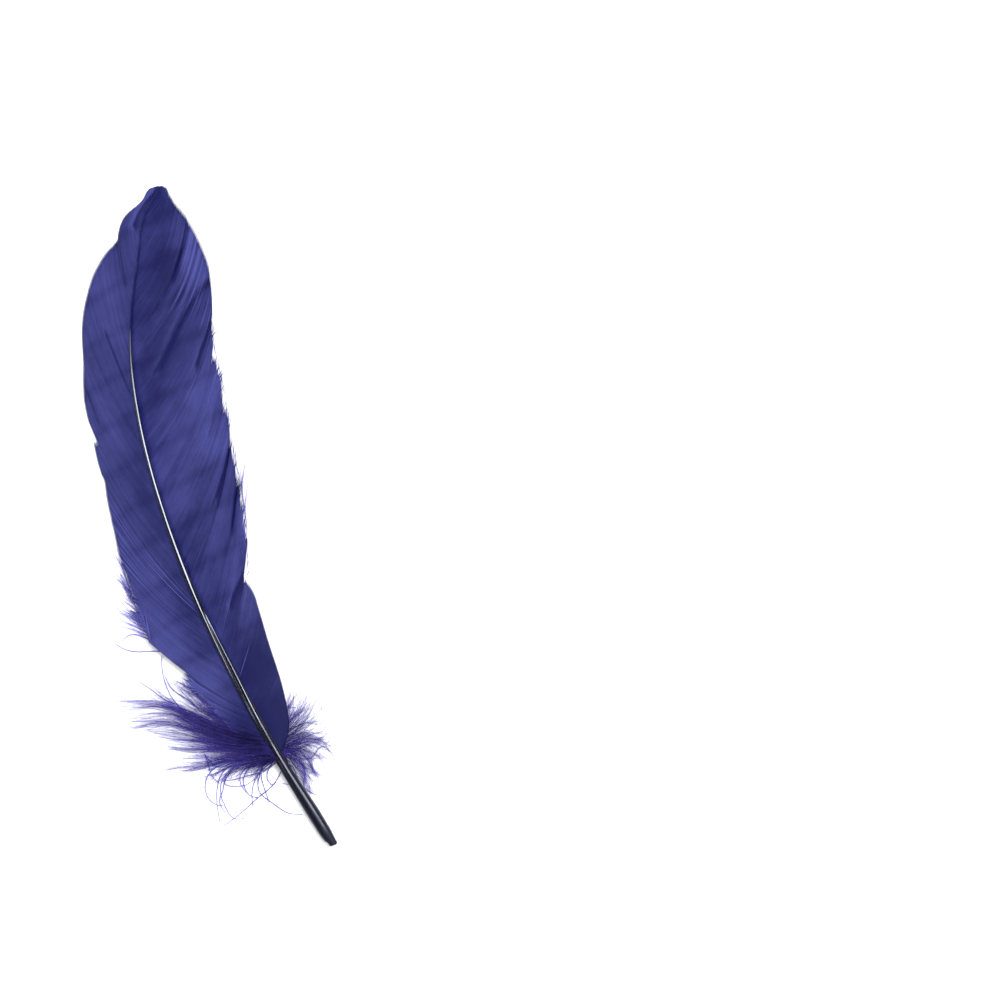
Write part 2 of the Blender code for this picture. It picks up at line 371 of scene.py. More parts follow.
def shaft_at(places):
    """x and z of the shaft's centre line, and its radius, at the given y."""
    knots, across, height, radius = np.array(SHAFT_STATIONS).T
    places = np.asarray(places, float)
    return spline(knots, across, places), spline(knots, height, places), np.interp(places, knots, radius)


def strip_faces(count, rings, sides, flip):
    """Faces of closed strips, each made of rings of vertices: the sides, then a cap at each end."""
    strip, ring, side = np.meshgrid(
        np.arange(count), np.arange(rings - 1), np.arange(sides), indexing="ij"
    )
    here = (strip * rings + ring) * sides
    after = here + sides
    turn = (side + 1) % sides
    quads = np.stack((here + side, here + turn, after + turn, after + side), axis=-1).reshape(-1, 4)
    first = np.arange(count)[:, None] * rings * sides + np.arange(sides)[::-1]
    last = np.arange(count)[:, None] * rings * sides + (rings - 1) * sides + np.arange(sides)
    faces = quads.tolist() + first.tolist() + last.tolist()
    return [face[::-1] for face in faces] if flip else faces


class Piece:
    """The vertices and faces of one piece as it grows, with the values its material reads."""

    def __init__(self):
        self.points, self.faces, self.values, self.count = [], [], {}, 0

    def add(self, points, faces, **values):
        """Adds vertices in millimetres of the plan, their faces, and a value for each vertex."""
        points = np.asarray(points, float).reshape(-1, 3)
        self.points.append(points)
        self.faces += [[index + self.count for index in face] for face in faces]
        for name, value in values.items():
            rows = np.asarray(value, np.float32).reshape(len(points), -1)
            self.values.setdefault(name, []).append(rows)
        self.count += len(points)

    def build(self, name, material, nodes):
        """Makes the object; `nodes` are the solids that it stands for."""
        mesh = bpy.data.meshes.new(name)
        points = PLAN_ORIGIN + MM * np.concatenate(self.points)
        mesh.from_pydata(points.tolist(), [], self.faces)
        for value_name, parts in self.values.items():
            value = np.concatenate(parts)
            kind, key = ("FLOAT", "value") if value.shape[1] == 1 else ("FLOAT_VECTOR", "vector")
            mesh.attributes.new(value_name, kind, "POINT").data.foreach_set(key, value.ravel())
        mesh.shade_smooth()
        mesh.update()
        obj = bpy.data.objects.new(name, mesh)
        bpy.context.scene.collection.objects.link(obj)
        mesh.materials.append(material)
        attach(obj, "root")
        if nodes:
            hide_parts(*nodes)
        return obj


# ---------------------------------------------------------------- the vanes


def drift(count, reach):
    """Smooth random values, one per barb, that keep their direction over about `reach` barbs."""
    raw = rng.normal(size=count + 6 * reach)
    kernel = np.exp(-0.5 * (np.arange(-3 * reach, 3 * reach + 1) / reach) ** 2)
    smooth = np.convolve(raw, kernel / np.sqrt((kernel**2).sum()), mode="valid")
    return smooth[:count]


def fold_drop(x, y):
    """How far the folds press the vane down, and the painted shade, shadow and lip highlight that they
    add, at each point of the plan.
    """
    drop, light = np.zeros_like(x), np.zeros_like(x)
    for depth, width, darker, lip, route in FOLDS:
        route = np.array(route)
        nearest, beyond = np.full_like(x, np.inf), np.zeros_like(x)
        for start, end in zip(route[:-1], route[1:]):
            step = end - start
            share = np.clip(((x - start[0]) * step[0] + (y - start[1]) * step[1]) / (step @ step), 0, 1)
            off_x, off_y = x - start[0] - share * step[0], y - start[1] - share * step[1]
            gap = np.hypot(off_x, off_y)
            closer = gap < nearest
            nearest = np.where(closer, gap, nearest)
            beyond = np.where(closer, np.sign(off_x) * gap, beyond)
        drop = np.maximum(drop, depth * np.exp(-((nearest / width) ** 2)))
        # Painted shade in the fold, a painted shadow beside it, and a painted highlight on its lip.
        sharp = np.exp(-((nearest / (FOLD_SHARP * width)) ** 2))
        soft = np.exp(-nearest / (FOLD_SOFT * width))
        fade = np.where(beyond < 0, sharp, soft)
        light += lip * np.exp(-(((beyond + FOLD_SOFT * width) / width) ** 2)) - darker * fade
    return drop, light


def patch_light(x, y, side):
    """How much lighter the vane is painted at each point of the plan, patch by patch and barb by barb:
    uneven dye, painted sheen and shade, and painted glints on single barbs.
    """
    light = np.zeros_like(x)
    painted_glint = np.clip(rng.exponential(0.6, len(x)) - 0.5, -0.4, 2.0)[:, None]
    for middle_x, middle_y, half_width, half_length, lighter, stand_out in PATCHES[side]:
        off = ((x - middle_x) / half_width) ** 2 + ((y - middle_y) / half_length) ** 2
        light += np.exp(-off) * (lighter + stand_out * painted_glint)
    return light


def section_ends(section, side, edge_heights):
    """A section's barbs: the y of each root, how far it is covered, and both ends of the barb."""
    stations = np.array(section.tips)
    tip_steps = np.linalg.norm(np.diff(stations[:, 1:], axis=0), axis=1)
    steps = RIB_PART * np.diff(stations[:, 0]) + MARGIN_PART * tip_steps
    measure = np.concatenate(([0.0], np.cumsum(steps)))
    count = max(3, round(measure[-1] / BARB_PITCH[side]) + 1)
    roots = np.interp(np.linspace(0.0, measure[-1], count), measure, stations[:, 0])
    centre, height, radius = shaft_at(roots)
    cover = table_at(COVER, roots)
    start_x = centre + side * (ROOT_OUT + ROOT_OUT_COVERED * cover) * radius
    start_z = height + (ROOT_UP + ROOT_UP_COVERED * cover) * radius
    start = np.stack((start_x, roots, start_z), axis=1)
    tip_x = spline(*stations.T[[0, 1]], roots)
    tip_y = spline(*stations.T[[0, 2]], roots)
    tip = np.stack((tip_x, tip_y, table_at(edge_heights, roots)), axis=1)
    return roots, cover, start, tip


def barb_plan(section, side, start, tip):
    """The curve of each barb in the plan, its ends uneven, and each one's reach and heading."""
    count = len(start)
    step = tip - start
    reach = np.hypot(step[:, 0], step[:, 1])
    heading = np.arctan2(side * step[:, 0], step[:, 1])
    uneven = -np.abs(rng.normal(size=count)) * section.fray
    uneven += LENGTH_WANDER * drift(count, 5) * min(1.0, 3 * section.fray)
    tip[:, 0] += side * np.sin(heading) * uneven
    tip[:, 1] += np.cos(heading) * uneven
    leave, arrive = heading + math.radians(section.bow[0]), heading - math.radians(section.bow[1])
    handle = BARB_HANDLE * reach[:, None]
    out = start[:, :2] + handle * np.stack((side * np.sin(leave), np.cos(leave)), axis=1)
    back = tip[:, :2] - handle * np.stack((side * np.sin(arrive), np.cos(arrive)), axis=1)

    t = np.linspace(0.0, 1.0, BARB_SAMPLES)[None, :, None]
    plan = (
        (1 - t) ** 3 * start[:, None, :2]
        + 3 * (1 - t) ** 2 * t * out[:, None]
        + 3 * (1 - t) * t**2 * back[:, None]
        + t**3 * tip[:, None, :2]
    )
    return plan, reach, heading


def section_lines(section, side, edge_heights):
    """Centre lines of a section's barbs with their shade, and the y of each one's root."""
    roots, cover, start, tip = section_ends(section, side, edge_heights)
    plan, reach, heading = barb_plan(section, side, start, tip)
    count = len(roots)
    first, last = section.tips[0][0], section.tips[-1][0]
    t = np.linspace(0.0, 1.0, BARB_SAMPLES)[None, :]
    rise = tip[:, 2] - start[:, 2]
    lift = section.lift[0] * np.exp(-(roots - first) / LIFT_REACH)
    lift += section.lift[1] * np.exp(-(last - roots) / LIFT_REACH)
    # Painted highlight where barbs ride over, painted shade where they are tucked under, and each
    # section's dye offset, which is painted shade where it is used.
    shade = section.dye + LIFT_LIGHT * lift[:, None] * t**LIFT_POWER
    # Painted shade along the rib where the barbs close over it.
    shade -= COVER_SHADE * cover[:, None] * np.exp(-t * reach[:, None] / COVER_REACH)
    lift += HEIGHT_WANDER * drift(count, 9) + HEIGHT_JITTER * rng.normal(size=count)
    z = start[:, 2:] + rise[:, None] * t**VANE_DROOP_POWER + lift[:, None] * t**LIFT_POWER
    for root, height in SPRUNG[side]:
        nearest = np.abs(roots - root).argmin()
        if abs(roots[nearest] - root) < BARB_PITCH[side]:
            spring = np.sin(np.pi * np.clip(2.0 * t[0], 0, 1)) ** 0.7
            z[nearest] += height * spring
            # Painted highlight on the sprung barb.
            shade[nearest] += SPRUNG_LIGHT * spring
    # Folds add painted shade, shadow and highlight; patches add uneven dye with painted sheen and shade.
    drop, fold_painted_light = fold_drop(plan[..., 0], plan[..., 1])
    z -= drop * np.minimum(1.0, 3 * t)
    shade += fold_painted_light + patch_light(plan[..., 0], plan[..., 1], side)
    z = np.minimum(np.maximum(z, LOWEST), start[:, 2:] + HIGHEST_OVER_ROOT)

    loose = table_at(LOOSE[side], roots)
    free = np.clip((t - 1 + loose[:, None]) / np.maximum(loose[:, None], 0.01), 0, 1)
    splay = SPLAY_WANDER * drift(count, 2) + SPLAY_JITTER * rng.normal(size=count) + SPLAY_LEAN
    swing = np.sin(splay)[:, None] * free * loose[:, None] * reach[:, None]
    plan[..., 0] += side * np.cos(heading)[:, None] * swing
    plan[..., 1] -= np.sin(heading)[:, None] * swing
    # Loose ends painted lighter for the light that shines through them.
    shade += LOOSE_LIGHT * free * (loose[:, None] > LOOSE_LIT)
    return np.concatenate((plan, z[..., None], shade[..., None]), axis=2), roots


def bridge_lines(before, after, pitch):
    """Barbs that close the way between two sections, as long as the shorter of their neighbours."""
    length = 0.99 * min(distances_along(before)[-1], distances_along(after)[-1])
    places = np.linspace(0.0, length, len(before))
    one, other = (
        np.stack([np.interp(places, distances_along(line), column) for column in line.T], axis=1)
        for line in (before, after)
    )
    gap = np.linalg.norm(other[:, :2] - one[:, :2], axis=1).max()
    shares = np.linspace(0.0, 1.0, 2 + max(1, int(gap / pitch)))[1:-1]
    return one + shares[:, None, None] * (other - one)


def vane_lines(sections, side, edge_heights):
    """Centre lines of all the vane's barbs with their shade, in order, and the y of each root."""
    lines, roots = [], []
    for section in sections:
        more, more_roots = section_lines(section, side, edge_heights)
        if lines:
            bridge = bridge_lines(lines[-1][-1], more[0], BARB_PITCH[side])
            lines.append(bridge)
            roots.append(np.linspace(roots[-1][-1], more_roots[0], len(bridge) + 2)[1:-1])
        lines.append(more)
        roots.append(more_roots)
    return np.concatenate(lines), np.concatenate(roots)


def add_barbs(piece, lines, roots, side):
    """One closed ridged strip along each line, as wide as it takes to lap over its neighbour."""
    lines, shade = lines[..., :3], lines[..., 3]
    count, samples, _ = lines.shape
    along = unit(np.gradient(lines, axis=1))
    towards_tip = np.gradient(lines, axis=0)
    across = towards_tip - (towards_tip * along).sum(-1, keepdims=True) * along
    spacing = np.linalg.norm(across, axis=-1)
    across = unit(across)
    up = np.cross(along, across)
    up *= np.sign(up[..., 2:])
    t = np.linspace(0.0, 1.0, samples)[None, :]
    loose = np.maximum(SHORTEST_TAPER, table_at(LOOSE[side], roots))[:, None]
    taper = np.sin(0.5 * np.pi * np.clip((1.0 - t) / loose, 0.0, 1.0))
    taper = taper ** np.where(loose > LOOSE_HAIR, 1.5, 1.0)
    wide = np.clip(0.5 * BARB_LAP * spacing, *BARB_HALF_WIDTH_LIMITS)
    half_width = np.minimum(wide, HAIR_HALF_WIDTH + (wide - HAIR_HALF_WIDTH) * taper)
    half_height = BARB_HALF_HEIGHT * (0.5 + 0.5 * taper)
    ring = (
        lines[:, :, None, :]
        + (half_width[..., None] * BARB_PROFILE[:, 0])[..., None] * across[:, :, None, :]
        + (half_height[..., None] * BARB_PROFILE[:, 1])[..., None] * up[:, :, None, :]
    )
    sides = len(BARB_PROFILE)
    spread = np.ones((count, samples, sides))
    steps = np.linalg.norm(np.diff(lines, axis=1), axis=2)
    length = np.concatenate((np.zeros((count, 1)), np.cumsum(steps, axis=1)), axis=1)
    tone = 0.5 + TONE_DRIFT * drift(count, 8) + TONE_WANDER * drift(count, 2)
    tone = tone + TONE_JITTER * rng.normal(size=count)
    grain = np.stack(
        (length[..., None] * spread, roots[:, None, None] * spread, BARB_PROFILE[:, 0] * spread), axis=-1
    )
    piece.add(
        ring,
        strip_faces(count, samples, sides, side == LEFT),
        tone=tone[:, None, None] * spread,
        shade=shade[..., None] * spread,
        reach=t[..., None] * spread,
        ridge=BARB_PROFILE[:, 1] * spread,
        grain=grain,
    )


def make_vane(name, lines, roots, side, material, node):
    """One vane, which stands for the solid `node`."""
    piece = Piece()
    add_barbs(piece, lines, roots, side)
    return piece.build(name, material, [node])


def loose_ends(lines, roots, side):
    """The outer ends of the barbs that hang loose at a vane's margin."""
    loose = table_at(LOOSE[side], roots)
    return lines[loose > LOOSE_FRINGED, -FRINGE_SAMPLES:, :3]


# ---------------------------------------------------------------- the quill

SHAFT_RINGS = 190
SHAFT_SIDES = 48
# Against y: how square the rib is (2 is round), and its height as a share of its width.
SQUARENESS = (
    (-90.0, 2.7), (-80.0, 2.3), (-62.0, 2.4), (-50.0, 2.8), (-20.0, 2.8), (40.0, 3.0), (89.0, 2.4),
)
TALLNESS = ((-90.0, 0.95), (-55.0, 1.0), (0.0, 1.08), (89.0, 1.1))
# How polished it is, from 0 to 1: the bare quill is scuffed, and the rib is dull near the tip.
GLOSS = (
    (-90.0, 0.1), (-72.0, 0.2), (-60.0, 0.7), (-48.0, 1.0), (-30.0, 1.0), (-15.0, 0.86),
    (25.0, 0.9), (45.0, 0.3), (56.0, 0.0),
)
# How far the top of the rib leans towards +X, in degrees, against y.
ROLL = (
    (-90.0, 0.0), (-72.0, 5.0), (-62.0, 11.0), (-50.0, 15.0), (-25.0, 12.0), (-5.0, 7.5),
    (35.0, 7.5), (58.0, 30.0), (89.0, 30.0),
)
# The crease of the dried quill, which winds from its left side over to its right. Against y: its
# angle from the top towards +X, in degrees, and its depth, as a share of the radius. Its half width
# is in degrees.
CREASE_ANGLES = (
    (-90.0, -44.0), (-66.0, -34.0), (-55.0, -29.0), (-48.0, -18.0), (-40.0, 4.0), (-30.0, 24.0),
    (-20.0, 42.0), (-8.0, 52.0),
)
CREASE_DEPTHS = (
    (-90.0, 0.0), (-80.0, 0.06), (-70.0, 0.15), (-63.0, 0.32), (-40.0, 0.46), (-30.0, 0.38),
    (-22.0, 0.2), (-12.0, 0.04), (-6.0, 0.0),
)
CREASE_WIDTH = 20.0
# The crease is dull: how much polish is lost for its depth, how far round from the crease's
# middle, in degrees, and how wide, as a share of the crease.
CREASE_DULLNESS, DULL_SHIFT, DULL_SPREAD = 2.2, 3.0, 0.7
# The furrow along the underside of the rib: its depth as a share of the radius, against y, and its
# half width in degrees.
FURROW_DEPTHS = ((-62.0, 0.0), (-40.0, 0.24), (60.0, 0.28), (80.0, 0.0))
FURROW_WIDTH = 24.0
# The hollow end: thickness of its wall, and how far in it goes.
WALL = 0.32
HOLLOW_DEPTH = 14.0
# Where the quill has rings of its own, against y: in the hollow, at the cut and at the tip.
HOLLOW_RINGS = (-90.0 + HOLLOW_DEPTH, -80.0, -84.0, -87.0, -89.0, -89.8)
CUT_RINGS = (-90.0, -89.9, -89.6, -89.0)
TIP_RINGS = (88.9, 89.1)
# The rings at the tip are drawn in to these shares of their size.
TIP_SHRINK = (0.6, 0.12)
# How far the first ring at the cut is drawn in towards the hollow, as a share of the wall.
CUT_ROUNDING = 0.35
# The cut's slant: it takes in the rings below this y, and runs back on the left and on the right
# from these x, by these shares of the distance. Its edge is ragged.
SLANT_BELOW = -88.6
SLANT_LEFT, SLANT_LEFT_FROM, SLANT_POWER = 0.275, 0.6, 1.4
SLANT_RIGHT, SLANT_RIGHT_FROM = 0.35, 0.9
RAGGED, RAGGED_TURNS = 0.04, 5.0


def degrees_from_top(angle):
    """An angle round the quill in degrees from its top, positive towards +X."""
    return np.degrees((angle + math.pi) % (2 * math.pi) - math.pi)


def shaft_ring(places, inset):
    """Rings of the quill's outline at the given y, drawn in by `inset`, and their points' angles."""
    places = np.asarray(places, float)
    centre, height, radius = shaft_at(places)
    slope_x = shaft_at(places + 0.5)[0] - shaft_at(places - 0.5)[0]
    slope_z = shaft_at(places + 0.5)[1] - shaft_at(places - 0.5)[1]
    along = unit(np.stack((slope_x, np.ones_like(places), slope_z), axis=1))
    across = unit(np.cross(along, (0.0, 0.0, 1.0)))
    up = np.cross(across, along)
    angle = np.linspace(0.0, 2 * math.pi, SHAFT_SIDES, endpoint=False)[None, :]
    power = table_at(SQUARENESS, places)[:, None]
    roll = np.radians(table_at(ROLL, places))[:, None]
    sine, cosine = np.sin(angle - roll), np.cos(angle - roll)
    size = (np.abs(sine) ** power + np.abs(cosine) ** power) ** (-1 / power)
    turned = degrees_from_top(angle)
    crease = table_at(CREASE_DEPTHS, places)[:, None] * np.exp(
        -(((turned - table_at(CREASE_ANGLES, places)[:, None]) / CREASE_WIDTH) ** 2)
    )
    under = 180.0 - np.abs(turned)
    furrow = table_at(FURROW_DEPTHS, places)[:, None] * np.exp(-((under / FURROW_WIDTH) ** 2))
    size = size * (1.0 - crease - furrow)
    wide = (radius - inset)[:, None] * size * np.sin(angle)
    tall = (radius * table_at(TALLNESS, places) - inset)[:, None] * size * np.cos(angle)
    middle = np.stack((centre, places, height), axis=1)[:, None, :]
    ring = middle + wide[..., None] * across[:, None, :] + tall[..., None] * up[:, None, :]
    return ring, np.repeat(angle, len(places), axis=0)


def crease_dullness(angle, lengths):
    """How much of the polish is missing down in the crease, from 0 to 1."""
    turned = degrees_from_top(angle)
    off = turned - table_at(CREASE_ANGLES, lengths) - DULL_SHIFT
    inward = np.exp(-((off / (DULL_SPREAD * CREASE_WIDTH)) ** 2))
    return np.clip(CREASE_DULLNESS * table_at(CREASE_DEPTHS, lengths) * inward, 0.0, 1.0)


def cut_slant(ring):
    """Leans the cut end of the quill back on both sides, more on its left, along a ragged line."""
    low = ring[..., 1] < SLANT_BELOW
    x = ring[..., 0]
    back = SLANT_LEFT * np.clip(SLANT_LEFT_FROM - x, 0.0, 2.5) ** SLANT_POWER
    back = back + SLANT_RIGHT * np.clip(x - SLANT_RIGHT_FROM, 0.0, 2.0)
    ring[..., 1] += np.where(low, back + RAGGED * np.sin(RAGGED_TURNS * x), 0.0)


def make_quill(material, node):
    """One skin: from the bottom of the hollow out to the cut, then along the outside to the tip."""
    outer_y = np.concatenate((CUT_RINGS, np.linspace(-88.0, 88.6, SHAFT_RINGS), TIP_RINGS))
    inner_y = np.array(HOLLOW_RINGS)
    inner, inner_angle = shaft_ring(inner_y, WALL)
    outer, outer_angle = shaft_ring(outer_y, 0.0)
    outer[0] += CUT_ROUNDING * (inner[-1] - outer[0])
    shrink = np.array(TIP_SHRINK)[:, None, None]
    middle = outer[-2:].mean(axis=1, keepdims=True)
    outer[-2:] = middle + shrink * (outer[-2:] - middle)
    cut_slant(outer)
    cut_slant(inner)
    rings = np.concatenate((inner, outer))
    angles = np.concatenate((inner_angle, outer_angle))
    around = np.ones((1, SHAFT_SIDES))
    lengths = np.concatenate((inner_y, outer_y))[:, None] * around
    inside = np.concatenate((np.ones(len(inner_y)), np.zeros(len(outer_y))))[:, None] * around
    piece = Piece()
    piece.add(
        rings,
        strip_faces(1, len(rings), SHAFT_SIDES, False),
        grain=np.stack((np.sin(angles), np.cos(angles), lengths), axis=-1),
        inside=inside,
        gloss=table_at(GLOSS, lengths) * (1 - inside) * (1 - crease_dullness(angles, lengths)),
    )
    return piece.build("quill_and_rib", material, [node])


# ---------------------------------------------------------------- down and loose barbs

# Sections of a hair: with three sides and with five.
ROUND_3 = np.array([(math.cos(a), math.sin(a)) for a in (0.0, 2 * math.pi / 3, 4 * math.pi / 3)])
ROUND_5 = np.array([(math.cos(2 * math.pi * k / 5), math.sin(2 * math.pi * k / 5)) for k in range(5)])
# Barbules in two rows along a barb: their spacing, length and radius in millimetres, how far they
# lean from the barb's heading in degrees, and how much they scatter out of its plane.
Barbules = namedtuple("Barbules", "spacing length radius lean scatter")
LONG_BARBULES = Barbules(0.36, 1.8, 0.017, 28.0, 0.45)
SHORT_BARBULES = Barbules(0.34, 0.7, 0.017, 30.0, 0.45)
SPARSE_BARBULES = Barbules(0.9, 1.0, 0.017, 30.0, 0.45)
STRAY_BARBULES = Barbules(0.3, 0.6, 0.012, 22.0, 0.2)
FRINGE_BARBULES = Barbules(0.2, 0.9, 0.013, 24.0, 0.2)
# A barbule's radius at its root, middle and tip, as shares, and how much its tip bends over.
BARBULE_TAPER = (1.0, 0.8, 0.12)
BARBULE_BEND = 0.55
# No hair dips below this height.
LOWEST_HAIR = 0.04
# Where the down leaves the quill, in radii out from its centre line and below it.
DOWN_ROOT_OUT, DOWN_ROOT_BELOW = 0.5, 0.35


def frames(lines):
    """The direction along each line, and the two directions square to it."""
    along = unit(np.gradient(lines, axis=-2))
    across = unit(np.cross(along, (0.0, 0.0, 1.0)))
    return along, across, np.cross(across, along)


def add_hairs(piece, lines, radii, profile, **values):
    """A closed tapering hair along each line."""
    count, samples, _ = lines.shape
    along, across, up = frames(lines)
    ring = lines[:, :, None, :] + radii[:, :, None, None] * (
        profile[:, 0, None] * across[:, :, None, :] + profile[:, 1, None] * up[:, :, None, :]
    )
    sides = len(profile)
    spread = np.ones((count, samples, sides))
    piece.add(
        ring,
        strip_faces(count, samples, sides, True),
        **{name: value[..., None] * spread for name, value in values.items()},
    )


def add_barbules(piece, lines, tones, barbules):
    """Fine curved hairs in two rows along each line, like the sides of a comb."""
    spacing, length, radius, lean, scatter = barbules
    count, samples, _ = lines.shape
    along, across, up = frames(lines)
    run = np.linalg.norm(np.diff(lines, axis=1), axis=2).sum(axis=1)
    bases, heads, bends, sizes, reaches, tone = [], [], [], [], [], []
    for i in range(count):
        number = max(4, int(run[i] / spacing))
        for side in (LEFT, RIGHT):
            t = (np.arange(number) + rng.uniform(0.0, 1.0, number)) / number * 0.97 + 0.02
            place = t * (samples - 1)
            k = np.minimum(place.astype(int), samples - 2)
            share = (place - k)[:, None]
            base = lines[i, k] * (1 - share) + lines[i, k + 1] * share
            tilt = rng.normal(0.0, 0.9 * scatter, number)[:, None]
            out = side * (np.cos(tilt) * across[i, k]) + np.sin(tilt) * up[i, k]
            angle = np.radians(lean + rng.normal(0.0, 9.0, number))[:, None]
            bases.append(base)
            heads.append(unit(np.cos(angle) * along[i, k] + np.sin(angle) * out))
            bends.append(unit(along[i, k] + 0.4 * rng.normal(size=(number, 3)) * (1, 1, scatter)))
            swell = np.sin(np.pi * np.clip(0.15 + 0.8 * t, 0, 1)) ** 0.6
            sizes.append(length * swell * rng.uniform(0.55, 1.15, number))
            reaches.append(t)
            tone.append(np.full(number, tones[i]))
    base, head, bend = np.concatenate(bases), np.concatenate(heads), np.concatenate(bends)
    size, reach, tone = np.concatenate(sizes)[:, None], np.concatenate(reaches), np.concatenate(tone)
    middle = base + 0.5 * size * head
    tip = base + size * unit(head + BARBULE_BEND * bend)
    hairs = np.stack((base, middle, tip), axis=1)
    hairs[..., 2] = np.maximum(hairs[..., 2], LOWEST_HAIR)
    radii = radius * np.array(BARBULE_TAPER)[None, :] * np.ones((len(base), 1))
    tone = tone[:, None] * np.ones((1, 3))
    # Barbule tips count as far out as their barb's tip, so they share its painted light.
    outer = np.minimum(1.0, 0.15 + 1.4 * reach[:, None]) * np.array([[0.0, 0.4, 0.85]])
    reach = reach[:, None] + (1.0 - reach[:, None]) * outer
    add_hairs(piece, hairs, radii, ROUND_3, tone=tone, reach=reach)


def shaft_root(y, side):
    """The point on the quill where a barb of down at this y grows."""
    centre, height, radius = (float(value) for value in shaft_at(y))
    return np.array((centre + side * DOWN_ROOT_OUT * radius, y, height - DOWN_ROOT_BELOW * radius))


# The down's fans: each guide is the y of a root on the shaft and the route of one lock to its tip.
# The barbs in between run from guide to guide, and draw together towards the guides' tips.
LEADING_GUIDES = (
    (-55.0, ((-14.8, -49.3), (-18.8, -43.2), (-22.2, -38.4), (-25.2, -34.4))),
    (-55.5, ((-15.6, -50.5), (-19.6, -45.0), (-22.8, -40.5), (-25.2, -37.0))),
    (-56.5, ((-17.5, -51.0), (-23.0, -44.5), (-26.5, -40.0), (-28.8, -36.8))),
    (-57.0, ((-19.0, -51.5), (-25.0, -46.2), (-29.0, -41.8), (-31.6, -37.0))),
    (-57.5, ((-20.0, -52.5), (-27.0, -46.8), (-32.0, -42.6), (-36.6, -37.4))),
    (-58.0, ((-22.0, -51.8), (-29.0, -45.6), (-34.4, -42.0), (-40.6, -40.0), (-46.0, -38.9))),
    (-58.5, ((-22.0, -52.6), (-28.5, -46.8), (-33.5, -43.2), (-38.5, -41.6), (-44.0, -40.6))),
    (-59.0, ((-22.0, -53.6), (-29.0, -48.2), (-35.0, -45.2), (-39.4, -44.0), (-44.0, -42.7))),
    (-59.5, ((-21.5, -54.6), (-28.0, -49.8), (-33.8, -46.6), (-38.0, -45.7), (-43.2, -45.2))),
    (-60.0, ((-21.0, -55.5), (-27.5, -51.0), (-33.5, -48.0), (-39.0, -46.6), (-44.8, -46.5))),
    (-60.5, ((-20.0, -56.8), (-27.0, -52.6), (-32.5, -50.3), (-36.3, -49.0), (-40.3, -47.9))),
    (-61.0, ((-20.0, -57.6), (-26.0, -54.6), (-31.5, -52.4), (-37.6, -50.0))),
    (-61.2, ((-19.0, -58.5), (-25.5, -56.2), (-31.5, -54.0), (-37.0, -51.9))),
    (-61.4, ((-18.0, -59.3), (-24.5, -57.6), (-30.0, -56.4), (-36.2, -53.6))),
    (-61.6, ((-17.0, -60.0), (-22.0, -59.2), (-27.0, -58.4), (-31.0, -57.2))),
    (-61.8, ((-17.0, -61.0), (-24.0, -60.6), (-31.3, -60.0), (-36.0, -58.9), (-40.2, -58.7))),
    (-62.4, ((-16.0, -61.8), (-22.0, -61.4), (-28.0, -61.6), (-34.0, -60.8))),
    (-63.0, ((-15.0, -62.8), (-20.0, -62.6), (-25.0, -63.6), (-29.0, -64.0))),
    (-63.4, ((-13.5, -63.5), (-17.5, -63.5), (-21.5, -65.0), (-24.6, -67.6))),
    (-63.8, ((-12.5, -64.2), (-15.5, -64.6), (-18.5, -67.6))),
    (-64.2, ((-11.5, -65.2), (-13.0, -66.2), (-14.2, -68.8))),
)
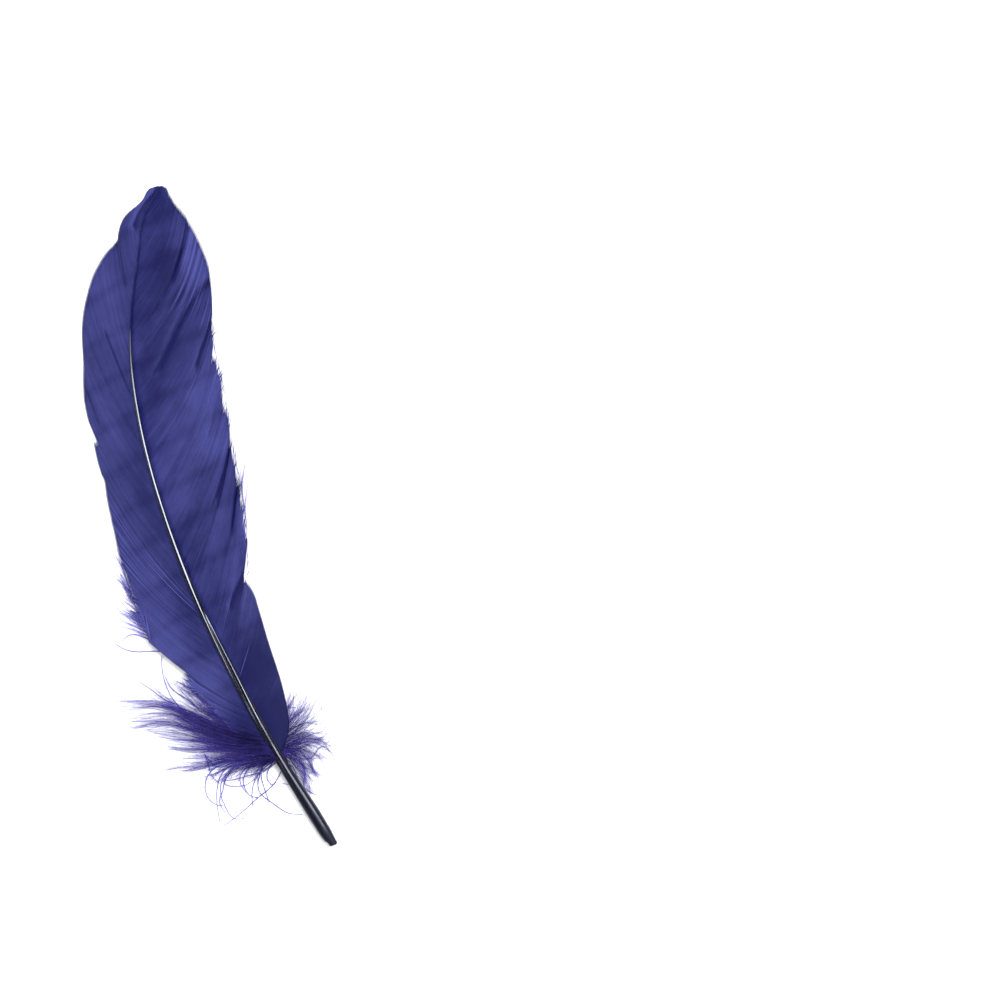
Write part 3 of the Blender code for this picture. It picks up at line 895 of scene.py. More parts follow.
# Single wisps that hang below the down, each a route in the plan.
LEADING_WISPS = (
    (
        (-16.0, -62.0), (-22.5, -61.8), (-26.5, -63.0), (-28.6, -66.0),
        (-28.6, -69.6), (-27.4, -71.4), (-25.4, -72.4),
    ),
    (
        (-14.0, -62.2), (-20.0, -62.4), (-23.6, -64.2), (-25.6, -67.3),
        (-26.8, -71.6), (-27.3, -76.2),
    ),
    (
        (-13.0, -62.6), (-20.0, -63.4), (-24.0, -66.0), (-25.2, -69.8),
        (-24.8, -73.0), (-23.6, -76.2), (-20.8, -77.0),
    ),
    (
        (-14.0, -62.8), (-18.5, -62.8), (-22.6, -65.4), (-23.4, -66.8),
        (-21.0, -68.2), (-18.4, -68.6), (-15.5, -67.6),
    ),
    (
        (-12.0, -63.2), (-16.0, -64.4), (-18.4, -67.0), (-18.6, -69.6),
        (-17.6, -71.8), (-15.8, -72.6),
    ),
    ((-7.6, -66.6), (-8.8, -68.2), (-11.3, -70.5), (-15.8, -72.6), (-20.0, -74.8), (-26.5, -77.5)),
    ((-12.0, -63.6), (-14.0, -67.0), (-15.2, -71.0), (-12.6, -75.0), (-9.6, -78.4), (-5.8, -80.0)),
    ((-11.0, -63.8), (-13.2, -66.0), (-13.7, -70.0), (-13.4, -74.6)),
    ((-9.6, -64.4), (-11.6, -66.6), (-12.2, -69.0), (-11.2, -70.4), (-10.2, -69.8)),
    (
        (-13.0, -62.2), (-20.0, -62.0), (-25.2, -61.2), (-26.6, -58.0),
        (-26.4, -60.2), (-26.2, -64.0), (-24.8, -66.4),
    ),
    ((-12.0, -63.4), (-16.0, -64.0), (-19.0, -66.0), (-19.2, -69.0), (-18.2, -71.0)),
    (
        (-13.0, -63.0), (-19.0, -62.8), (-23.0, -65.4), (-24.6, -68.8),
        (-25.8, -70.4), (-25.2, -74.4),
    ),
    ((-9.0, -65.0), (-13.0, -66.2), (-17.0, -66.4), (-21.0, -66.4), (-24.0, -66.0)),
    ((-10.0, -64.6), (-13.8, -66.4), (-16.4, -69.4), (-17.4, -72.0), (-17.8, -74.4)),
    ((-29.5, -29.2), (-32.6, -28.2), (-36.6, -27.3), (-39.2, -26.2), (-42.0, -23.6)),
    ((-32.4, -25.6), (-34.6, -23.6), (-37.6, -22.5), (-40.2, -23.6)),
    ((-28.0, -47.0), (-30.6, -42.6), (-31.8, -37.4), (-31.6, -33.0), (-30.8, -29.8)),
    ((-31.0, -43.0), (-33.3, -41.0), (-35.4, -38.4), (-38.5, -34.9)),
    ((-25.0, -46.0), (-27.6, -42.4), (-30.3, -39.4), (-31.4, -35.4)),
    ((-23.0, -45.0), (-25.0, -41.4), (-27.6, -38.6), (-28.8, -37.4)),
)
TRAILING_GUIDES = (
    (-57.0, ((-5.6, -55.0), (-3.0, -51.6), (-1.2, -47.6))),
    (-58.0, ((-5.0, -55.8), (-1.4, -52.4), (1.8, -47.4))),
    (-59.0, ((-4.6, -57.2), (0.0, -54.2), (4.8, -49.6))),
    (-60.0, ((-4.4, -58.8), (1.0, -57.0), (7.0, -53.4))),
    (-61.0, ((-4.2, -60.4), (1.4, -59.8), (5.4, -60.2), (7.8, -57.8))),
    (-62.0, ((-4.2, -61.4), (0.6, -61.6), (4.4, -63.6), (6.6, -66.0))),
    (-62.6, ((-4.4, -62.2), (-1.0, -63.6), (1.8, -67.0), (3.2, -70.8))),
    (-63.0, ((-5.0, -62.8), (-3.0, -65.2), (-1.0, -69.6), (0.8, -72.0))),
    (-63.4, ((-5.2, -63.6), (-3.6, -66.0), (-2.2, -70.4), (-1.2, -75.4))),
    (-64.0, ((-5.4, -65.0), (-4.4, -67.6), (-3.8, -71.0), (-3.0, -74.2))),
)
TRAILING_WISPS = (
    ((-5.2, -66.6), (-4.6, -69.0), (-6.4, -71.4), (-8.8, -70.6)),
    ((-4.6, -64.5), (-2.0, -68.5), (-3.4, -73.0), (-1.0, -75.8)),
    ((-4.6, -63.5), (0.5, -66.0), (3.6, -64.0), (6.4, -67.4)),
    ((-6.0, -55.4), (-5.0, -52.6), (-3.0, -51.6), (-0.4, -52.2)),
)
DOWN_SAMPLES = 24
# How far the barbs that cross the others lie above them.
CROSSING_RISE = 0.9
# The share of the barbs that stray far from their lock, and how far those and the others stray, in
# guides.
FAR_SHARE, FAR_ASTRAY, NEAR_ASTRAY = 0.4, 0.7, 0.1
# Ranges: how strongly a barb draws to its lock, how much of its route it runs, its height halfway
# and at its end, and the height of a wisp's end.
PULL_RANGE, LENGTH_RANGE = (0.2, 1.6), (0.54, 1.2)
MIDDLE_HEIGHTS, END_HEIGHTS = (0.4, 2.2), (0.15, 1.9)
WISP_START_HEIGHTS, WISP_END_HEIGHTS = (0.8, 1.6), (0.15, 0.9)


def fan_lines(guides, number, side, clumping, spread):
    """Lines of a fan's barbs, each between two neighbouring guides."""
    t = np.linspace(0.0, 1.0, DOWN_SAMPLES)
    routes = []
    for root_y, route in guides:
        start = shaft_root(root_y, side)
        routes.append(smooth_path([start[:2], *route], DOWN_SAMPLES))
    routes = np.array(routes)
    lines = []
    for share in (np.arange(number) + rng.uniform(0.0, 1.0, number)) / number:
        place = share * (len(guides) - 1)
        pull = clumping * rng.uniform(*PULL_RANGE)
        reach = FAR_ASTRAY if rng.uniform() < FAR_SHARE else NEAR_ASTRAY
        astray = reach * rng.normal()
        place = place + (round(place) - place) * min(0.95, pull) * t**1.2 + astray * t**1.5
        place = np.clip(place, 0.0, len(guides) - 1.001)
        low = np.minimum(place.astype(int), len(guides) - 2)
        part = (place - low)[:, None]
        index = np.arange(DOWN_SAMPLES)
        plan = routes[low, index] * (1 - part) + routes[low + 1, index] * part
        sideways = unit(np.gradient(plan, axis=0))[:, ::-1] * (1, -1)
        wander = spread * rng.normal() * np.sin(np.pi * t**0.8) + 0.6 * spread * rng.normal() * t**2
        wander += 0.45 * spread * np.sin(2 * np.pi * (rng.uniform(0.6, 2.2) * t + rng.uniform())) * t
        plan = plan + sideways * wander[:, None]
        keep = min(1.0, rng.uniform(*LENGTH_RANGE))
        plan = np.stack([np.interp(t * keep, t, column) for column in plan.T], axis=1)
        start_z = shaft_root(guides[0][0], side)[2]
        middle, end = rng.uniform(*MIDDLE_HEIGHTS), rng.uniform(*END_HEIGHTS)
        height = start_z * (1 - t) ** 2 + 2 * middle * t * (1 - t) + end * t**2
        lines.append(np.column_stack((plan, height)))
    return np.array(lines)


def wisp_lines(routes):
    """Lines of single wisps, which sink from root to tip in a shallow wave."""
    lines = []
    t = np.linspace(0.0, 1.0, DOWN_SAMPLES)
    for route in routes:
        plan = smooth_path(route, DOWN_SAMPLES)
        height = rng.uniform(*WISP_START_HEIGHTS) * (1 - t) + rng.uniform(*WISP_END_HEIGHTS) * t
        lines.append(np.column_stack((plan, np.maximum(height + 0.2 * np.sin(np.pi * 2 * t), 0.2))))
    return np.array(lines)


def make_down(name, lines, root_radius, tip_share, barbules, material, nodes):
    """Barbs of down along the lines; the radius at their tips is tip_share of that at the root."""
    piece = Piece()
    count = len(lines)
    tones = rng.uniform(0.0, 1.0, count)
    t = np.linspace(0.0, 1.0, lines.shape[1])[None, :] * np.ones((count, 1))
    radii = root_radius * (tip_share + (1 - tip_share) * (1 - t) ** 0.8)
    add_hairs(piece, lines, radii, ROUND_5, tone=tones[:, None] * np.ones_like(t), reach=0.8 * t**1.5)
    add_barbules(piece, lines, tones, barbules)
    return piece.build(name, material, nodes)


# Loose barbs at a vane's margin: number, where they leave it (from, to), heading from +Y towards
# +X in degrees (from, to), length (from, to) and height over the surface, in millimetres.
Strays = namedtuple("Strays", "number start end heading length height")
LEADING_STRAYS = (
    Strays(34, (-30.6, -27.6), (-34.2, -18.5), (-54, -32), (6.0, 12.0), 0.9),
    Strays(20, (-33.8, -18.5), (-34.8, -10.5), (-34, -18), (5.0, 9.5), 0.8),
    Strays(8, (-28.4, -30.2), (-31.6, -26.4), (-50, -26), (2.0, 5.0), 1.2),
    Strays(18, (-34.4, -14.0), (-34.9, -4.0), (-22, -8), (3.5, 8.0), 0.6),
    Strays(8, (-34.6, -5.0), (-34.4, 8.0), (-12, -4), (2.0, 4.0), 0.5),
    Strays(10, (-24.6, -41.0), (-25.8, -36.5), (-50, -10), (1.2, 2.6), 2.4),
)
TRAILING_STRAYS = (
    Strays(14, (-0.6, -4.0), (0.8, 8.0), (8, 26), (6.0, 12.0), 1.7),
    Strays(10, (0.8, 6.0), (1.4, 18.0), (6, 20), (3.0, 7.0), 1.7),
    Strays(8, (2.4, 24.0), (2.9, 31.0), (6, 22), (1.5, 3.4), 2.1),
    Strays(12, (3.2, 33.0), (3.6, 46.0), (4, 16), (1.5, 4.0), 2.1),
    Strays(8, (4.4, 49.0), (6.4, 59.0), (8, 20), (0.8, 2.4), 2.1),
    Strays(6, (-3.6, -16.5), (-1.6, -8.0), (12, 34), (2.0, 5.0), 1.8),
)
STRAY_SAMPLES = 12
# How far inside the margin a stray begins, in millimetres, and how much it curves, in degrees.
STRAY_TUCK, STRAY_CURVE = 1.2, 14.0
# A stray's radius at its tip, and how much more it has at its root.
STRAY_TIP_RADIUS, STRAY_ROOT_EXTRA = 0.015, 0.04


def stray_lines(families):
    """Lines of the loose barbs of each family, spread evenly along its stretch of the margin."""
    lines = []
    t = np.linspace(0.0, 1.0, STRAY_SAMPLES)
    for family in families:
        for share in (np.arange(family.number) + rng.uniform(0.1, 0.9, family.number)) / family.number:
            base = np.array(family.start) * (1 - share) + np.array(family.end) * share
            length = rng.uniform(*family.length)
            first = math.radians(rng.uniform(*family.heading))
            turn = math.radians(rng.normal(0.0, STRAY_CURVE))
            heading = first + turn * t
            step = length / (len(t) - 1)
            x = base[0] + np.cumsum(np.sin(heading)) * step - STRAY_TUCK * math.sin(first)
            y = base[1] + np.cumsum(np.cos(heading)) * step - STRAY_TUCK * math.cos(first)
            z = family.height + rng.uniform(-0.3, 0.3) + rng.uniform(-0.9, 0.7) * t**1.5
            lines.append(np.column_stack((x, y, np.maximum(z, 0.1))))
    return np.array(lines)


def make_strays(name, lines, ends, material):
    """Loose barbs, and the fringe of barbules on the loose ends of the vane's own barbs."""
    piece = Piece()
    count = len(lines)
    tones = rng.uniform(0.2, 1.0, count)
    t = np.linspace(0.0, 1.0, lines.shape[1])[None, :] * np.ones((count, 1))
    radii = STRAY_ROOT_EXTRA * (1 - t) ** 0.7 + STRAY_TIP_RADIUS
    add_hairs(piece, lines, radii, ROUND_5, tone=tones[:, None] * np.ones_like(t), reach=t)
    add_barbules(piece, lines, tones, STRAY_BARBULES)
    add_barbules(piece, ends, rng.uniform(0.5, 1.0, len(ends)), FRINGE_BARBULES)
    return piece.build(name, material, [])


# ---------------------------------------------------------------- materials

FLOAT, VECTOR = "NodeSocketFloat", "NodeSocketVector"
# What makes a barb lighter: its ridge top and the raised parts of its barbule weave, as painted light and
# shade, and its outer end; the growth bars and the dye as a whole make it darker.
RIDGE_LIGHT, WEAVE_LIGHT, MARGIN_LIGHT = 0.16, 0.5, 0.12
GROWTH_BAR_LIGHT, VANE_DARKNESS = -0.13, 0.59
# The quill's colours, and its roughness: with no polish, and what full polish, streaks and wear add.
QUILL_DARK, QUILL_LIGHT = (0.001, 0.0015, 0.004), (0.005, 0.006, 0.016)
QUILL_ROUGH, POLISH_ROUGH, STREAK_ROUGH, WORN_ROUGH = 0.3, -0.22, 0.14, 0.2
# The quill is worn from the first of these y to the second, the cut, where it is fully so.
WORN_FROM, WORN_TO = -84.0, -89.5
# How much lighter the down's tips are painted, for the light that shines through them, and how much
# darker the dye makes it as a whole.
DOWN_TIP_LIGHT, DOWN_DARKNESS = 0.8, 0.4


def new_material(name, **constants):
    """A material whose shader has the given constant values, and its node tree."""
    material = bpy.data.materials.new(name)
    material.use_nodes = True
    shader = material.node_tree.nodes["Principled BSDF"]
    for socket, value in constants.items():
        shader.inputs[socket.replace("_", " ").title()].default_value = value
    return material, material.node_tree, shader


def node(tree, kind, at=(0, 0), **settings):
    """A new shader node with the given settings; `inputs` are the values of its sockets."""
    made = tree.nodes.new(kind)
    made.location = at
    inputs = settings.pop("inputs", {})
    for name, value in settings.items():
        setattr(made, name, value)
    for name, value in inputs.items():
        made.inputs[name].default_value = value
    return made


def join(tree, *pairs):
    """Links each pair, from an output to an input."""
    for source, target in pairs:
        tree.links.new(source, target)


def attribute(tree, name, at=(0, 0)):
    """A node that reads a value stored on the piece's points."""
    return node(tree, "ShaderNodeAttribute", at, attribute_name=name, attribute_type="GEOMETRY")


def new_group(name, inputs, outputs):
    """A node group with named sockets: inputs as (name, kind, value), outputs as (name, kind)."""
    tree = bpy.data.node_groups.new(name, "ShaderNodeTree")
    for socket, kind, value in inputs:
        made = tree.interface.new_socket(name=socket, in_out="INPUT", socket_type=kind)
        if value is not None:
            made.default_value = value
    for socket, kind in outputs:
        tree.interface.new_socket(name=socket, in_out="OUTPUT", socket_type=kind)
    return tree, node(tree, "NodeGroupInput", (-900, 0)), node(tree, "NodeGroupOutput", (900, 0))


def use_group(tree, group, at=(0, 0), **values):
    """A node that uses a group, with the given values at its sockets."""
    made = node(tree, "ShaderNodeGroup", at, node_tree=group)
    for name, value in values.items():
        made.inputs[name.replace("_", " ")].default_value = value
    return made


def math_node(tree, operation, first, second=None, at=(0, 0), clamp=False):
    """The output of a maths node that works on numbers or on other outputs."""
    made = node(tree, "ShaderNodeMath", at, operation=operation, use_clamp=clamp)
    for index, value in enumerate((first, second)):
        if isinstance(value, (int, float)):
            made.inputs[index].default_value = value
        elif value is not None:
            tree.links.new(value, made.inputs[index])
    return made.outputs[0]


def dye_group():
    """How strongly the dye took: cloudy patches, streaks along the grain, and each barb's own tone."""
    tree, given, out = new_group(
        "uneven dye",
        [
            ("Grain", VECTOR, None),
            ("Tone", FLOAT, 0.5),
            ("Patch Size", FLOAT, 60.0),
            ("Streak Size", FLOAT, 2.0),
            ("Patchy", FLOAT, 0.45),
            ("Streaky", FLOAT, 0.3),
            ("Barb By Barb", FLOAT, 0.25),
        ],
        [("Strength", FLOAT)],
    )
    place = node(tree, "ShaderNodeTexCoord", (-700, 300))
    patch = node(tree, "ShaderNodeTexNoise", (-450, 300), inputs={"Detail": 6.0, "Roughness": 0.64})
    streak = node(tree, "ShaderNodeTexNoise", (-450, 0), inputs={"Detail": 2.0, "Roughness": 0.6})
    join(
        tree,
        (place.outputs["Object"], patch.inputs["Vector"]),
        (given.outputs["Patch Size"], patch.inputs["Scale"]),
        (given.outputs["Grain"], streak.inputs["Vector"]),
        (given.outputs["Streak Size"], streak.inputs["Scale"]),
    )
    total = 0.5
    parts = (
        (patch.outputs["Fac"], given.outputs["Patchy"]),
        (streak.outputs["Fac"], given.outputs["Streaky"]),
        (given.outputs["Tone"], given.outputs["Barb By Barb"]),
    )
    for row, (value, weight) in enumerate(parts):
        swing = math_node(tree, "SUBTRACT", value, 0.5, (-200, 300 - 200 * row))
        swing = math_node(tree, "MULTIPLY", swing, weight, (0, 300 - 200 * row))
        total = math_node(tree, "ADD", swing, total, (200 + 150 * row, 100))
    join(tree, (total, out.inputs["Strength"]))
    return tree


def barbule_group():
    """The fine slanting rows of barbules that cross each barb, as a height."""
    tree, given, out = new_group(
        "barbule weave", [("Grain", VECTOR, None), ("Rows", FLOAT, 14.0)], [("Height", FLOAT)]
    )
    parts = node(tree, "ShaderNodeSeparateXYZ", (-700, 0))
    join(tree, (given.outputs["Grain"], parts.inputs["Vector"]))
    length, row, across = parts.outputs
    slant = math_node(tree, "ABSOLUTE", across, None, (-500, -100))
    slant = math_node(tree, "MULTIPLY", slant, 0.3, (-350, -100))
    place = math_node(tree, "SUBTRACT", length, slant, (-200, 0))
    shifted = math_node(tree, "MULTIPLY", row, 0.37, (-350, -300))
    place = math_node(tree, "ADD", place, shifted, (-50, 0))
    turns = math_node(tree, "MULTIPLY", place, given.outputs["Rows"], (100, 0))
    wave = math_node(tree, "SINE", turns, None, (250, 0))
    speckle = node(tree, "ShaderNodeTexNoise", (-200, -400), inputs={"Scale": 3.2, "Detail": 2.0})
    join(tree, (given.outputs["Grain"], speckle.inputs["Vector"]))
    wave = math_node(tree, "MULTIPLY", wave, 0.35, (400, 0))
    height = math_node(tree, "ADD", wave, speckle.outputs["Fac"], (550, 0))
    join(tree, (height, out.inputs["Height"]))
    return tree


def growth_group():
    """Faint bars across the feather, one for each day that it grew."""
    tree, given, out = new_group(
        "growth bars", [("Spacing", FLOAT, 0.011), ("Wander", FLOAT, 0.003)], [("Bars", FLOAT)]
    )
    place = node(tree, "ShaderNodeTexCoord", (-800, 0))
    parts = node(tree, "ShaderNodeSeparateXYZ", (-600, 0))
    cloud = node(tree, "ShaderNodeTexNoise", (-600, -250), inputs={"Scale": 55.0, "Detail": 2.0})
    join(
        tree,
        (place.outputs["Object"], parts.inputs["Vector"]),
        (place.outputs["Object"], cloud.inputs["Vector"]),
    )
    shift = math_node(tree, "MULTIPLY", cloud.outputs["Fac"], given.outputs["Wander"], (-400, -250))
    lean = math_node(tree, "MULTIPLY", parts.outputs["X"], -0.25, (-400, 150))
    along = math_node(tree, "ADD", parts.outputs["Y"], lean, (-250, 50))
    along = math_node(tree, "ADD", along, shift, (-100, 0))
    turns = math_node(tree, "DIVIDE", along, given.outputs["Spacing"], (50, 0))
    turns = math_node(tree, "MULTIPLY", turns, 2 * math.pi, (200, 0))
    wave = math_node(tree, "SINE", turns, None, (350, 0))
    wave = math_node(tree, "MULTIPLY_ADD", wave, 0.5, (500, 0))
    wave.node.inputs[2].default_value = 0.5
    sharp = math_node(tree, "POWER", wave, 6.0, (650, 0))
    join(tree, (sharp, out.inputs["Bars"]))
    return tree


def blend_colours(tree, share, dark, light, at=(0, 0)):
    """A node that goes from one colour at a share of 0 to the other at 1."""
    made = node(tree, "ShaderNodeMix", at, data_type="RGBA", clamp_factor=True)
    made.inputs["A"].default_value = (*dark, 1.0)
    made.inputs["B"].default_value = (*light, 1.0)
    join(tree, (share, made.inputs["Factor"]))
    return made


def vane_material(name, dark, light, groups):
    """Silky dyed barbs: painted shade in the grooves between them, paler where the dye took less, with
    each barb's painted light and shade.
    """
    material, tree, shader = new_material(name, metallic=0.0)
    shader.inputs["Specular IOR Level"].default_value = 0.12
    grain, tone = attribute(tree, "grain", (-1400, 200)), attribute(tree, "tone", (-1400, 0))
    ridge, reach = attribute(tree, "ridge", (-1400, -200)), attribute(tree, "reach", (-1400, -400))
    shade = attribute(tree, "shade", (-1400, -600))
    stretch = node(tree, "ShaderNodeVectorMath", (-1250, 300), operation="MULTIPLY")
    stretch.inputs[1].default_value = (0.14, 1.0, 0.4)
    join(tree, (grain.outputs["Vector"], stretch.inputs[0]))
    dye = use_group(
        tree, groups["dye"], (-1100, 200),
        Patch_Size=90.0, Streak_Size=1.5, Patchy=0.64, Streaky=0.36, Barb_By_Barb=0.26,
    )
    weave = use_group(tree, groups["barbule"], (-1100, -100), Rows=30.0)
    bars = use_group(tree, groups["growth"], (-1100, -300))
    join(
        tree,
        (stretch.outputs["Vector"], dye.inputs["Grain"]),
        (tone.outputs["Fac"], dye.inputs["Tone"]),
        (grain.outputs["Vector"], weave.inputs["Grain"]),
    )
    # Painted shade: each barb's ridge top lighter, its sides and the grooves between barbs darker.
    share = math_node(tree, "MULTIPLY", ridge.outputs["Fac"], RIDGE_LIGHT, (-850, 0))
    share = math_node(tree, "ADD", share, dye.outputs["Strength"], (-700, 100))
    barred = math_node(tree, "MULTIPLY", bars.outputs["Bars"], GROWTH_BAR_LIGHT, (-850, -300))
    share = math_node(tree, "ADD", share, barred, (-550, 50))
    # Painted light and shade over the relief of the barbule weave.
    speck = math_node(tree, "MULTIPLY", weave.outputs["Height"], WEAVE_LIGHT, (-850, -150))
    share = math_node(tree, "ADD", share, speck, (-400, 50))
    margin = math_node(tree, "POWER", reach.outputs["Fac"], 1.6, (-850, -450))
    margin = math_node(tree, "MULTIPLY", margin, MARGIN_LIGHT, (-700, -450))
    share = math_node(tree, "ADD", share, margin, (-250, 50))
    # The painted highlights, shade and shadows worked out for each barb, with the dye of its section and
    # patches.
    share = math_node(tree, "ADD", share, shade.outputs["Fac"], (-180, 50))
    share = math_node(tree, "SUBTRACT", share, VANE_DARKNESS, (-120, 50), clamp=True)
    colour = blend_colours(tree, share, dark, light, (0, 200))
    rough = math_node(tree, "MULTIPLY_ADD", weave.outputs["Height"], 0.12, (-200, -200))
    rough.node.inputs[2].default_value = 0.42
    bump = node(tree, "ShaderNodeBump", (-100, -400), inputs={"Strength": 0.35, "Distance": 0.00004})
    join(
        tree,
        (colour.outputs["Result"], shader.inputs["Base Color"]),
        (rough, shader.inputs["Roughness"]),
        (weave.outputs["Height"], bump.inputs["Height"]),
        (bump.outputs["Normal"], shader.inputs["Normal"]),
    )
    return material


def quill_material(groups):
    """Glossy dyed keratin: near black, with long faint streaks and a duller, dusty cut end."""
    material, tree, shader = new_material("blue_black_quill", metallic=0.0, coat_roughness=0.09)
    shader.inputs["IOR"].default_value = 1.48
    shader.inputs["Specular Tint"].default_value = (0.74, 0.79, 1.0, 1.0)
    shader.inputs["Coat Tint"].default_value = (0.8, 0.85, 1.0, 1.0)
    grain, inside = attribute(tree, "grain", (-1400, 200)), attribute(tree, "inside", (-1400, -100))
    stretch = node(tree, "ShaderNodeVectorMath", (-1200, 200), operation="MULTIPLY")
    stretch.inputs[1].default_value = (1.0, 1.0, 0.035)
    join(tree, (grain.outputs["Vector"], stretch.inputs[0]))
    dye = use_group(tree, groups["dye"], (-1000, 200), Patch_Size=160.0, Streak_Size=3.2, Patchy=0.06)
    join(tree, (stretch.outputs["Vector"], dye.inputs["Grain"]))
    share = math_node(tree, "SUBTRACT", dye.outputs["Strength"], 0.3, (-700, 200))
    share = math_node(tree, "MULTIPLY", share, 1.2, (-550, 200), clamp=True)
    parts = node(tree, "ShaderNodeSeparateXYZ", (-1200, -200))
    join(tree, (grain.outputs["Vector"], parts.inputs["Vector"]))
    near_cut = node(tree, "ShaderNodeMapRange", (-1000, -200), clamp=True)
    worn_range = (WORN_FROM, WORN_TO, 0.0, 1.0)
    for socket, value in zip(("From Min", "From Max", "To Min", "To Max"), worn_range):
        near_cut.inputs[socket].default_value = value
    join(tree, (parts.outputs["Z"], near_cut.inputs["Value"]))
    worn = math_node(tree, "MAXIMUM", near_cut.outputs["Result"], inside.outputs["Fac"], (-800, -200))
    dusty = math_node(tree, "MULTIPLY", worn, 0.25, (-600, -100))
    share = math_node(tree, "ADD", share, dusty, (-400, 100))
    colour = blend_colours(tree, share, QUILL_DARK, QUILL_LIGHT, (-200, 200))
    gloss = attribute(tree, "gloss", (-1400, -500))
    rough = math_node(tree, "MULTIPLY_ADD", gloss.outputs["Fac"], POLISH_ROUGH, (-500, -300))
    rough.node.inputs[2].default_value = QUILL_ROUGH
    streaked = math_node(tree, "MULTIPLY", dye.outputs["Strength"], STREAK_ROUGH, (-500, -450))
    rough = math_node(tree, "ADD", rough, streaked, (-300, -300))
    scuffed = math_node(tree, "MULTIPLY", worn, WORN_ROUGH, (-300, -450))
    rough = math_node(tree, "ADD", rough, scuffed, (-100, -300))
    coat = math_node(tree, "MULTIPLY", gloss.outputs["Fac"], 0.95, (-300, -550))
    bump = node(tree, "ShaderNodeBump", (-100, -500), inputs={"Strength": 0.35, "Distance": 0.00012})
    join(
        tree,
        (colour.outputs["Result"], shader.inputs["Base Color"]),
        (rough, shader.inputs["Roughness"]),
        (coat, shader.inputs["Coat Weight"]),
        (dye.outputs["Strength"], bump.inputs["Height"]),
        (bump.outputs["Normal"], shader.inputs["Normal"]),
    )
    return material


def down_material(name, root, tip, groups):
    """Soft down: dark and full of dye at the root, and painted a clearer violet blue towards the tips,
    for the light that shines through them.
    """
    material, tree, shader = new_material(name, metallic=0.0, roughness=0.6)
    shader.inputs["Specular IOR Level"].default_value = 0.1
    tone, reach = attribute(tree, "tone", (-1200, 0)), attribute(tree, "reach", (-1200, -200))
    place = node(tree, "ShaderNodeTexCoord", (-1200, 300))
    dye = use_group(tree, groups["dye"], (-900, 200), Patch_Size=150.0, Streak_Size=400.0)
    join(
        tree,
        (place.outputs["Object"], dye.inputs["Grain"]),
        (tone.outputs["Fac"], dye.inputs["Tone"]),
    )
    # Painted light through the thin tips.
    share = math_node(tree, "POWER", reach.outputs["Fac"], 1.4, (-900, -200))
    share = math_node(tree, "MULTIPLY", share, DOWN_TIP_LIGHT, (-750, -200))
    share = math_node(tree, "ADD", share, dye.outputs["Strength"], (-600, 0))
    share = math_node(tree, "SUBTRACT", share, DOWN_DARKNESS, (-450, 0), clamp=True)
    colour = blend_colours(tree, share, root, tip, (-250, 100))
    join(tree, (colour.outputs["Result"], shader.inputs["Base Color"]))
    return material


# ---------------------------------------------------------------- floor, light and camera

# The floor's side, and how far it lies below the feather's lowest point, in metres.
FLOOR_SIZE, FLOOR_GAP = 3.0, 0.00005
# The camera's lens and sensor in millimetres, the spot in the plan that it stands over, its height
# in metres, and how far the feather's chord leans to the left in the frame.
LENS, SENSOR = 200.0, 36.0
CAMERA_SPOT = (66.0, -13.2)
CAMERA_HEIGHT = 1.467
CHORD_LEAN = math.radians(14.93)


def make_floor():
    """White paper for the feather to lie on."""
    half = FLOOR_SIZE / 2
    low = CAD_BOX[0][2] - FLOOR_GAP
    mesh = bpy.data.meshes.new("floor")
    corners = [(-half, -half, low), (half, -half, low), (half, half, low), (-half, half, low)]
    mesh.from_pydata(corners, [], [(0, 1, 2, 3)])
    floor = bpy.data.objects.new("floor", mesh)
    bpy.context.scene.collection.objects.link(floor)
    material, tree, shader = new_material("white_paper", roughness=0.9, metallic=0.0)
    shader.inputs["Specular IOR Level"].default_value = 0.1
    fibre = node(tree, "ShaderNodeTexNoise", (-500, 0), inputs={"Scale": 900.0, "Detail": 3.0})
    place = node(tree, "ShaderNodeTexCoord", (-700, 0))
    paper_dark, paper_light = (0.92, 0.92, 0.925), (0.94, 0.94, 0.945)
    tint = blend_colours(tree, fibre.outputs["Fac"], paper_dark, paper_light, (-250, 0))
    join(
        tree,
        (place.outputs["Object"], fibre.inputs["Vector"]),
        (tint.outputs["Result"], shader.inputs["Base Color"]),
    )
    mesh.materials.append(material)


def add_softbox(name, azimuth, zenith, distance, size, power):
    """A square softbox: azimuth from the frame's up towards its right, zenith angle from overhead."""
    light = bpy.data.lights.new(name, "AREA")
    light.shape = "SQUARE"
    light.size = size
    light.energy = power
    obj = bpy.data.objects.new(name, light)
    bpy.context.scene.collection.objects.link(obj)
    turn = math.radians(azimuth) + CHORD_LEAN
    tilt = math.radians(zenith)
    way = np.array((math.sin(turn) * math.sin(tilt), math.cos(turn) * math.sin(tilt), math.cos(tilt)))
    obj.location = way * distance
    obj.rotation_euler = (tilt, 0.0, math.pi - turn)
    return obj


def make_light():
    """A key from the upper right, a low fill from the left, and light from the ceiling and room."""
    add_softbox("key_softbox", azimuth=55.0, zenith=23.0, distance=1.1, size=0.5, power=14.0)
    add_softbox("fill_softbox", azimuth=-75.0, zenith=62.0, distance=1.3, size=1.1, power=8.0)
    ceiling = add_softbox(
        "ceiling_bounce", azimuth=0.0, zenith=0.0, distance=1.6, size=2.4, power=28.0
    )
    ceiling.visible_glossy = False
    world = bpy.data.worlds.new("studio")
    world.use_nodes = True
    backdrop = world.node_tree.nodes["Background"]
    backdrop.inputs["Color"].default_value = (0.92, 0.95, 1.0, 1.0)
    backdrop.inputs["Strength"].default_value = 0.16
    bpy.context.scene.world = world


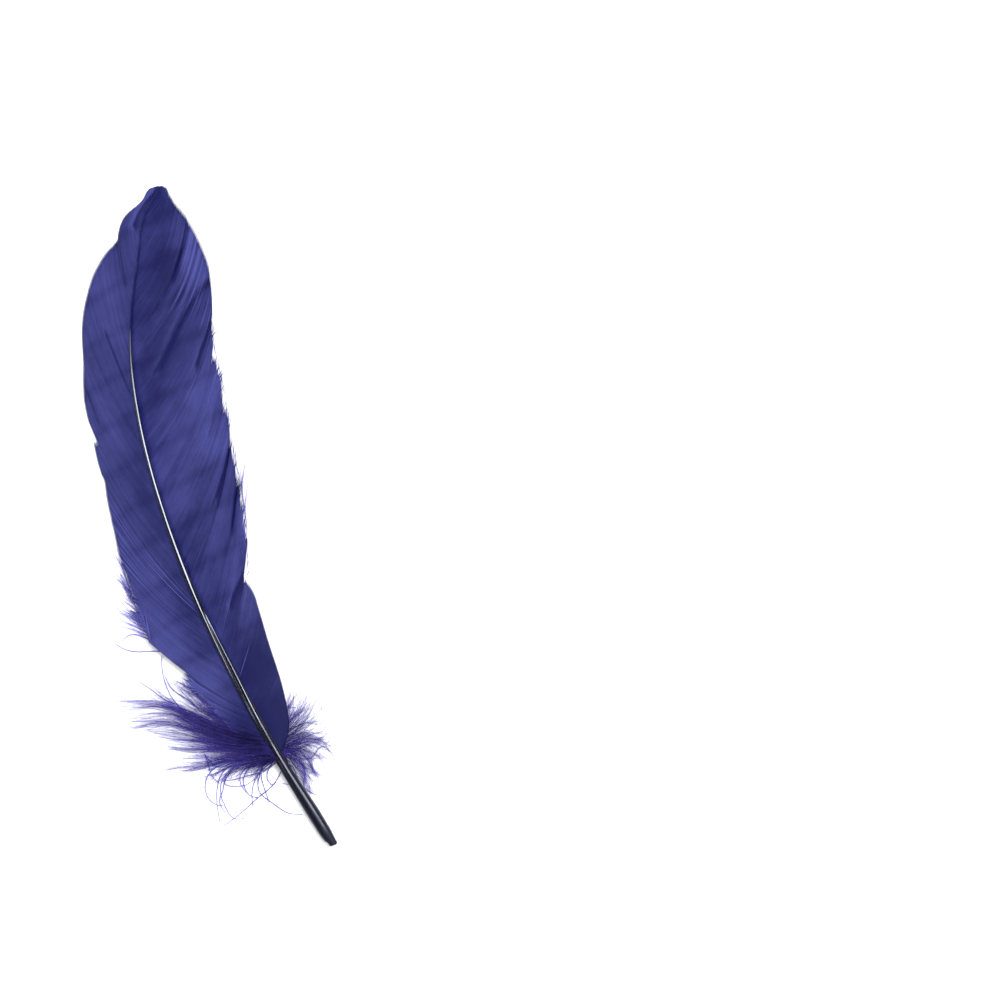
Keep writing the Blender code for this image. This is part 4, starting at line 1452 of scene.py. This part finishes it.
def make_camera():
    """Straight overhead, turned so that the feather's chord leans to the left."""
    data = bpy.data.cameras.new("camera")
    data.lens = LENS
    data.sensor_width = SENSOR
    data.clip_start = 0.01
    camera = bpy.data.objects.new("camera", data)
    bpy.context.scene.collection.objects.link(camera)
    spot = PLAN_ORIGIN + MM * np.array((*CAMERA_SPOT, 0.0))
    camera.location = (spot[0], spot[1], CAMERA_HEIGHT)
    camera.rotation_euler = (0.0, 0.0, -CHORD_LEAN)
    bpy.context.scene.camera = camera


def main():
    """The camera, the light and the floor, then the feather piece by piece."""
    bpy.context.scene.view_settings.view_transform = "Standard"
    make_camera()
    make_light()
    make_floor()
    groups = {"dye": dye_group(), "barbule": barbule_group(), "growth": growth_group()}
    leading_silk = vane_material("leading_silk", (0.005, 0.006, 0.062), (0.053, 0.057, 0.23), groups)
    # The trailing vane is a darker copy of the leading vane's colours: painted shade for how the light
    # falls across its barbs.
    trailing_silk = vane_material("trailing_silk", (0.002, 0.0028, 0.054), (0.05, 0.054, 0.228), groups)
    quill_black = quill_material(groups)
    soft_down = down_material("soft_down", (0.009, 0.006, 0.066), (0.115, 0.09, 0.54), groups)
    dark_down = down_material("dark_down", (0.004, 0.003, 0.035), (0.1, 0.08, 0.5), groups)
    loose_barb = down_material("loose_barb", (0.05, 0.045, 0.24), (0.22, 0.19, 0.7), groups)

    make_quill(quill_black, "shaft")
    leading = vane_lines(LEADING_SECTIONS, LEFT, LEADING_EDGE_HEIGHTS)
    trailing = vane_lines(TRAILING_SECTIONS, RIGHT, TRAILING_EDGE_HEIGHTS)
    make_vane("leading_barbs", *leading, LEFT, leading_silk, "leading_vane")
    make_vane("trailing_barbs", *trailing, RIGHT, trailing_silk, "trailing_vane")
    make_strays("leading_strays", stray_lines(LEADING_STRAYS), loose_ends(*leading, LEFT), loose_barb)
    make_strays("trailing_strays", stray_lines(TRAILING_STRAYS), loose_ends(*trailing, RIGHT), loose_barb)
    upper, middle, lower = LEADING_GUIDES[:7], LEADING_GUIDES[6:13], LEADING_GUIDES[12:]
    fans = (("upper", upper, 64, 0.85), ("middle", middle, 46, 0.75), ("lower", lower, 66, 0.3))
    for name, guides, number, spread in fans:
        fan = fan_lines(guides, number, LEFT, clumping=0.36, spread=spread)
        make_down("leading_down_" + name, fan, 0.08, 0.25, LONG_BARBULES, soft_down, ["leading_down"])
    crossing = fan_lines(LEADING_GUIDES, 90, LEFT, clumping=0.2, spread=1.7)
    crossing[..., 2] += CROSSING_RISE
    make_down("leading_down_crossing", crossing, 0.06, 0.4, SPARSE_BARBULES, dark_down, [])
    leading_wisps = wisp_lines(LEADING_WISPS)
    make_down("leading_wisps", leading_wisps, 0.15, 0.6, SHORT_BARBULES, loose_barb, [])
    trailing_fan = fan_lines(TRAILING_GUIDES, 100, RIGHT, clumping=0.4, spread=1.2)
    make_down("trailing_down_fan", trailing_fan, 0.075, 0.25, LONG_BARBULES, soft_down, ["trailing_down"])
    trailing_wisps = wisp_lines(TRAILING_WISPS)
    make_down("trailing_wisps", trailing_wisps, 0.13, 0.6, SHORT_BARBULES, loose_barb, [])


main()
